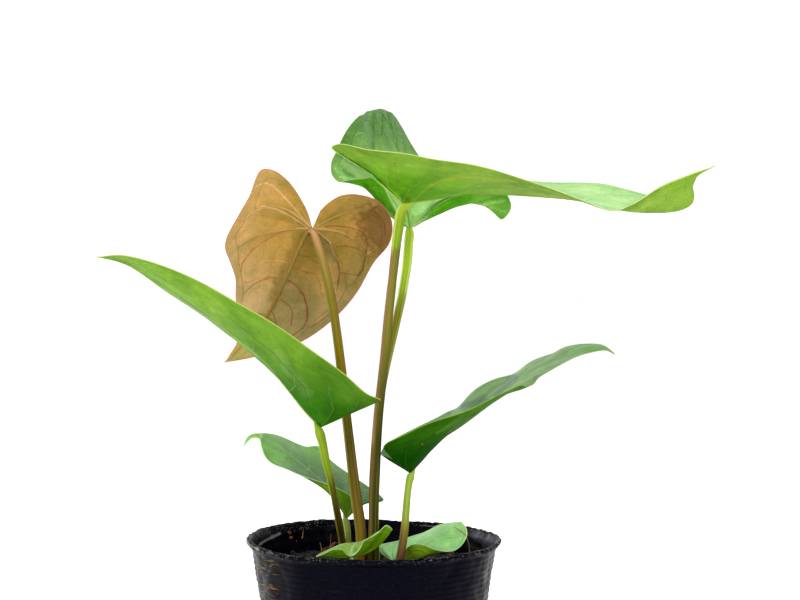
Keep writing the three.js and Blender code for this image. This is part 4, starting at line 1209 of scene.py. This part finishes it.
def make_blade(name, leaf):
    """Two halves welded along the rib and given their thickness, with the ridge of the midrib."""
    near, far = leaf["basal"]
    halves = [blade_half(leaf, name, "near", near, 0), blade_half(leaf, name, "far", far, 1)]
    piece = joined(f"{name}_blade", halves)
    edit_all()
    bpy.ops.mesh.remove_doubles(threshold=SHEET_WELD * MM)
    bpy.ops.mesh.dissolve_degenerate(threshold=SHEET_WELD * MM)
    bpy.ops.object.mode_set(mode="OBJECT")
    set_materials(
        piece,
        leaf_face(f"{name}_upper", leaf, "upper", shine=leaf.get("shine", 0.2)),
        leaf_face(f"{name}_under", leaf, "under", shine=0.03),
        edge_material(f"{name}_edge", leaf["colours"]["edge"]),
    )
    start = np.array(leaf["rib"][0]) * MM
    keep_numbers(piece, "reach", np.linalg.norm(read_places(piece) - start, axis=1) / (MAP_SPAN * MM))
    apply_modifier(
        piece, "SOLIDIFY", thickness=BLADE_THICKNESS * MM, offset=0.0,
        material_offset=1, material_offset_rim=2,
        vertex_group="body", thickness_vertex_group=MARGIN_THINNING
    )
    ridge = rib_ridge(leaf, f"{name}_ridge")
    set_materials(ridge, edge_material(f"{name}_rib", leaf["colours"]["rib"]))
    piece = joined(f"{name}_blade", [piece, ridge])
    finish_piece(piece, 60, "leaf_bronze" if name == "bronze" else "leaf_green", f"leaf_{name}")


# Stalks, roots and fibres


def strand(name, points, sides):
    """A tube through [x, y, z, radius] points, drawn as a curve with a round section and made a mesh."""
    track = Track(points)
    count = max(6, round(track.length / STALK_STEP))
    drawn = begin(name, bpy.ops.curve.primitive_bezier_curve_add)
    curve = drawn.data
    curve.splines.clear()
    spline = curve.splines.new("POLY")
    spline.points.add(count)
    for point, share in zip(spline.points, np.linspace(0, 1, count + 1)):
        point.co = (*(track.at(share) * MM), 1)
        point.radius = track.extra(share)
    curve.dimensions = "3D"
    curve.bevel_depth = MM
    curve.bevel_resolution = sides // 4 - 1 if sides >= 8 else 0
    curve.use_fill_caps = True
    select_only(drawn)
    bpy.ops.object.convert(target="MESH")
    piece = bpy.context.object
    piece.name = name
    piece.data.name = name
    return piece


def note_strand(piece, points):
    """Stores, for each vertex, its place round the strand and along it, for lengthwise bands."""
    track = Track(points)
    shares = np.linspace(0, 1, STALK_SAMPLES)
    line = np.array([track.at(s) for s in shares]) * MM
    places = read_places(piece)
    nearest = np.argmin(((places[:, None, :] - line[None, :, :]) ** 2).sum(axis=2), axis=1)
    offset = places - line[nearest]
    offset[:, 2] = 0
    offset /= np.maximum(np.linalg.norm(offset, axis=1), 1e-9)[:, None]
    length = shares[nearest] * track.length / MAP_SPAN
    keep_numbers(piece, "strand", np.column_stack([offset[:, :2], length * SKIN_STRETCH]), "FLOAT_VECTOR")


def make_stalk(name, leaf):
    """A stalk from the crown up to its blade, running on a little way under the midrib."""
    rib = Track(leaf["rib"])
    top = leaf["stalk"][0][3]
    points = [[x, y, z, radius * STALK_FULLNESS] for x, y, z, radius in reversed(leaf["stalk"][1:])]
    for run, size in STALK_END:
        radius = size * top
        below = facing(leaf) * (radius + BLADE_THICKNESS * 0.3)
        points.append([*(rib.at(run * top / rib.length) - below), radius])
    piece = strand(f"{name}_stalk", points, STALK_SIDES)
    note_strand(piece, points)
    set_materials(piece, stalk_material(f"{name}_stalk", leaf["stalk_colours"], leaf["stripes_and_painted_light"]))
    finish_piece(piece, 70, "stalk", f"stalk_{name}")


# Pot


def wall_radius(z):
    return BASE_RADIUS + (BODY_TOP_RADIUS - BASE_RADIUS) * z / (POT_HEIGHT - LIP_DEPTH)


def pot_profile():
    """Radius and height from the foot, up the ribbed wall, over the lip and down inside."""
    lip_foot = POT_HEIGHT - LIP_DEPTH
    steps = round((lip_foot - 2 * FOOT_ROUND) / RIB_PITCH) * 4
    outer = []
    for k in range(steps + 1):
        z = FOOT_ROUND + (lip_foot - FOOT_ROUND) * k / steps
        outer.append((wall_radius(z) + RIB_DEPTH * math.sin(math.pi * k / 2), z))
    inner = []
    for k in range(steps, -1, -2):
        z = FOOT_ROUND + 0.5 + (lip_foot - FOOT_ROUND - 0.5) * k / steps
        inner.append((wall_radius(z) - WALL * 0.8 + RIB_DEPTH * 0.6 * math.sin(math.pi * k / 4), z))
    foot = [(BASE_RADIUS - inside, z) for inside, z in FOOT_EDGE]
    return [*foot, *outer, *LIP_PROFILE, *inner, (BASE_RADIUS - FOOT_ROUND - 0.6, FLOOR_THICKNESS)]


def crumple_film(piece):
    """Marks the inner wall, then adds the waves and dents of the soft film, strongest at the lip."""
    inner = []
    for vertex in piece.data.vertices:
        inside = math.hypot(vertex.co.x, vertex.co.y) / MM < wall_radius(vertex.co.z / MM) - WALL * 0.4
        inner.append(float(inside))
    keep_numbers(piece, "inner", inner)
    for vertex in piece.data.vertices:
        x, y, z = [c / MM for c in vertex.co]
        radius = math.hypot(x, y)
        if radius <= BASE_RADIUS * 0.8:
            continue
        angle = math.atan2(y, x)
        spot = Vector((x, y, z * 0.7))
        grow = smooth_ramp(z, WAVE_START, POT_HEIGHT)
        body = smooth_ramp(z, 3, 30)
        crease = (1 - abs(noise.noise(spot * 0.11 + Vector((7, 3, 1))))) ** 8
        out = LIP_WAVE * grow * (0.5 * math.sin(3 * angle) + 0.5 * math.sin(8 * angle))
        out += body * (0.35 + 0.5 * grow) * layered(spot, FILM_DENTS) - 0.3 * body * crease
        ragged = smooth_ramp(z, 86, 89) * layered(spot, LIP_RAGS)
        down = LIP_DIP * grow * (0.5 + 0.3 * math.sin(5 * angle + 1) + 0.2 * math.sin(11 * angle))
        down -= LIP_RISE * grow * max(0, math.cos(angle - math.radians(LIP_RISE_AT))) ** 2
        scale = (radius + out + ragged) / radius
        vertex.co.x *= scale
        vertex.co.y *= scale
        vertex.co.z -= (down - ragged * 0.8) * MM
    piece.data.update()


def make_pot():
    """The film pot: a ring drawn out rib by rib, rolled over at the lip and closed by its floor."""
    profile = pot_profile()
    piece = begin(
        "film_pot", bpy.ops.mesh.primitive_circle_add, vertices=POT_SIDES, radius=profile[0][0] * MM,
        fill_type="NOTHING", location=(0, 0, profile[0][1] * MM)
    )
    bpy.ops.object.transform_apply(location=True, rotation=True, scale=True)
    edit_all()
    bpy.ops.mesh.edge_face_add()
    for (before, _), (radius, height) in zip(profile, profile[1:]):
        draw_out(height, radius / before)
    end_facing_out()
    crumple_film(piece)
    for k in range(DRAIN_COUNT):
        x, y = on_circle(DRAIN_RING, 2 * math.pi * (k + 0.5) / DRAIN_COUNT)
        cutter = begin(
            "drain", bpy.ops.mesh.primitive_cylinder_add, vertices=DRAIN_SIDES,
            radius=DRAIN_RADIUS * MM, depth=DRAIN_CUT * MM, location=(x * MM, y * MM, 0)
        )
        apply_modifier(piece, "BOOLEAN", object=cutter, operation="DIFFERENCE", solver="EXACT")
        bpy.data.objects.remove(cutter)
    set_materials(piece, pot_material())
    finish_piece(piece, 70, "pot_film", "pot")


# Potting mix


def mix_height(x, y):
    distance = math.hypot(x - MOUND_CENTRE[0], y - MOUND_CENTRE[1])
    mound = MOUND_HEIGHT * math.exp(-((distance / MOUND_SPREAD) ** 2))
    crumbs = math.sin(0.9 * x + 0.4 * y) * math.cos(0.8 * y - 0.3 * x) + 0.5 * math.sin(1.7 * y + x)
    return MIX_LEVEL + mound + 0.42 * crumbs


def mix_reach():
    return wall_radius(MIX_LEVEL) - WALL - 0.7


def make_mix_body(material):
    """The bumpy top of the mix, laid over a round grid, with its side drawn down and closed."""
    piece = begin(
        "mix_body", bpy.ops.mesh.primitive_grid_add,
        x_subdivisions=MIX_CELLS, y_subdivisions=MIX_CELLS, size=2
    )
    for vertex in piece.data.vertices:
        a, b = vertex.co.x, vertex.co.y
        x = mix_reach() * a * math.sqrt(1 - b * b / 2)
        y = mix_reach() * b * math.sqrt(1 - a * a / 2)
        rough = layered(Vector((x, y, 0)), MIX_ROUGHNESS)
        vertex.co = Vector((x, y, mix_height(x, y) + 0.9 * rough)) * MM
    edit_all()
    bpy.ops.mesh.region_to_loop()
    for height, narrowing in MIX_SIDE:
        draw_out(height, narrowing)
    bpy.ops.mesh.edge_face_add()
    end_facing_out()
    set_materials(piece, material)
    finish_piece(piece, 55, "potting_mix", "potting_mix")


def make_lumps(draw):
    """A few different lumps, each a small ball squeezed and knocked about."""
    lumps = []
    for index in range(LUMP_COUNT):
        lump = begin(f"lump_{index}", bpy.ops.mesh.primitive_ico_sphere_add, subdivisions=2, radius=1)
        shift = Vector((index * 5.1, index * 2.3, 0))
        for vertex in lump.data.vertices:
            vertex.co = vertex.co * layered(vertex.co, LUMP_SHAPE, shift, 1)
        squeeze = (draw.uniform(0.8, 1.2), draw.uniform(0.7, 1.1), draw.uniform(0.45, 0.8))
        edit_all()
        bpy.ops.transform.resize(value=squeeze, center_override=(0, 0, 0))
        bpy.ops.object.mode_set(mode="OBJECT")
        lumps.append(lump)
    return lumps


def scatter(name, lumps, draw, spots, material):
    """Copies of the lumps at (x, y, z, size, stretch) spots, turned at random and joined."""
    copies = []
    for x, y, z, size, stretch in spots:
        lump = draw.choice(lumps)
        copy = lump.copy()
        copy.data = lump.data.copy()
        bpy.context.collection.objects.link(copy)
        copy.location = (x * MM, y * MM, z * MM)
        tilt = [draw.uniform(-CRUMB_TILT, CRUMB_TILT) for _ in range(2)]
        copy.rotation_euler = (*tilt, draw.uniform(0, 6.28))
        copy.scale = (size * stretch * MM, size * MM, size * MM)
        copies.append(copy)
    piece = joined(name, copies)
    bpy.ops.object.transform_apply(location=True, rotation=True, scale=True)
    set_materials(piece, material)
    finish_piece(piece, 50, "potting_mix")


def random_place(draw, reach):
    """A place in a circle, as likely anywhere in it."""
    radius = reach * math.sqrt(draw.random())
    return on_circle(radius, draw.uniform(0, 2 * math.pi))


def clear_of_stalks(x, y, z, margin):
    """True where a crumb would not sit inside a stalk."""
    for leaf in LEAVES.values():
        for px, py, pz, radius in leaf["stalk"]:
            if abs(pz - z) < 9 and math.hypot(px - x, py - y) < radius + margin:
                return False
    return True


def crumb_spots(draw, count, low, high, stretch, rise):
    """Random spots on the mix that are clear of the stalks, as (x, y, z, size, stretch)."""
    spots = []
    while len(spots) < count:
        x, y = random_place(draw, mix_reach() - 1.5)
        size = draw.uniform(low, high)
        z = mix_height(x, y) + rise * size
        if clear_of_stalks(x, y, z, size * 0.5):
            spots.append((x, y, z, size, draw.uniform(1, stretch)))
    return spots


def make_crumbs(materials):
    """Crumbs all over the mix, and rusty bits on the inner wall, along the rim and by the stalks."""
    draw = random.Random(CRUMB_SEED)
    lumps = make_lumps(draw)
    for name, (matter, *kind) in CRUMBS.items():
        scatter(name, lumps, draw, crumb_spots(draw, *kind), materials[matter])
    loose = []
    for degrees, height, size in WALL_BITS:
        x, y = on_circle(wall_radius(height) - WALL, math.radians(degrees))
        loose.append((x, y, height, size, 1.3))
    for _ in range(RIM_BITS):
        x, y = on_circle(RIM_BITS_RADIUS, math.radians(draw.uniform(*RIM_BITS_FROM_TO)))
        loose.append((x, y, RIM_BITS_HEIGHT, draw.uniform(*RIM_BITS_SIZE), 1.5))
    for x, y, size in MOUND_BITS:
        loose.append((x, y, mix_height(x, y) + size, size, 1.8))
    scatter("loose_bits", lumps, draw, loose, materials["rusty_bit"])
    for lump in lumps:
        bpy.data.objects.remove(lump)


def make_fibres(material):
    """Thin brown fibres lying and standing in the mix, drawn by a seeded rule."""
    draw = random.Random(FIBRE_SEED)
    pieces = []
    for index in range(SHORT_FIBRES):
        x, y = random_place(draw, mix_reach() * 0.9)
        turn = draw.uniform(0, 2 * math.pi)
        points = []
        for step in range(FIBRE_POINTS):
            z = mix_height(x, y) + 0.4 + (draw.uniform(0, FIBRE_ARCH) if step in (2, 3) else 0)
            points.append([x, y, z, FIBRE_RADIUS if step < FIBRE_POINTS - 1 else FIBRE_TIP_RADIUS])
            turn += draw.uniform(-FIBRE_TURN, FIBRE_TURN)
            x += draw.uniform(*FIBRE_STEP) * math.cos(turn)
            y += draw.uniform(*FIBRE_STEP) * math.sin(turn)
        if math.hypot(x, y) < mix_reach() - 1:
            pieces.append(strand(f"fibre_{index}", points, FIBRE_SIDES))
    for index, points in enumerate(LONG_FIBRES):
        pieces.append(strand(f"long_fibre_{index}", points, FIBRE_SIDES))
    piece = joined("mix_fibres", pieces)
    set_materials(piece, material)
    finish_piece(piece, 80, "potting_mix")


# Stage


def make_camera():
    data = bpy.data.cameras.new("photo_camera")
    camera = bpy.data.objects.new("photo_camera", data)
    bpy.context.collection.objects.link(camera)
    data.sensor_width = SENSOR_WIDTH
    data.lens = FOCAL_PIXELS / FRAME_PIXELS * SENSOR_WIDTH
    data.clip_end = 50
    camera.location = [c * MM for c in CAMERA_PLACE]
    camera.rotation_euler = (math.radians(90 - CAMERA_PITCH), 0, 0)
    bpy.context.scene.camera = camera


def add_light(name, place, aim, size, power):
    data = bpy.data.lights.new(name, "AREA")
    data.shape = "RECTANGLE"
    data.size, data.size_y = size
    data.energy = power
    lamp = bpy.data.objects.new(name, data)
    bpy.context.collection.objects.link(lamp)
    lamp.location = place
    lamp.rotation_euler = (Vector(aim) - Vector(place)).to_track_quat("-Z", "Y").to_euler()


def make_studio():
    """A white surround, bright to the camera and dimmer as light from the camera's side and the right."""
    world = bpy.data.worlds.new("studio")
    bpy.context.scene.world = world
    world.use_nodes = True
    board = Board(world.node_tree)
    x, y, z = board.split(board.take("Generated", "ShaderNodeTexCoord"))
    low = board.remap(z, 0.75, 0.25)
    front = low * board.remap(y, 0.05, -0.45)
    right = low * board.remap(x, 0.3, 0.75)
    around = board.remap(front, 0, 1, 1.2, 0.14, smooth=False) * board.remap(right, 0, 1, 1.0, 0.5)
    seen = board.take("Is Camera Ray", "ShaderNodeLightPath") * 1.2
    background = world.node_tree.nodes["Background"].inputs
    board.feed(background["Strength"], board.larger(around, seen))
    board.feed(background["Color"], (1, 1, 1, 1))


def make_stage():
    """A pale floor, the surround and the soft lights."""
    floor = begin("floor", bpy.ops.mesh.primitive_plane_add, size=14, location=(0, 0, -0.0002))
    finish = Finish("pale_floor", roughness=0.8, specular=0.1)
    shade = finish.mix(finish.noise(3, 2), (0.93, 0.93, 0.93, 1), (0.96, 0.96, 0.96, 1))
    finish.set("Base Color", shade)
    set_materials(floor, finish.material)
    make_studio()
    for light in LIGHTS:
        add_light(*light)
    bpy.context.scene.view_settings.view_transform = "Standard"


make_camera()
make_stage()
earthy = {name: earthy_material(name, *shades) for name, shades in EARTHY.items()}
for name, leaf in LEAVES.items():
    make_blade(name, leaf)
    make_stalk(name, leaf)
make_pot()
make_mix_body(earthy["damp_mix"])
make_crumbs(earthy)
make_fibres(earthy["dry_fibre"])

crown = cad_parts["crown"]
set_materials(crown, earthy["crown_bark"])
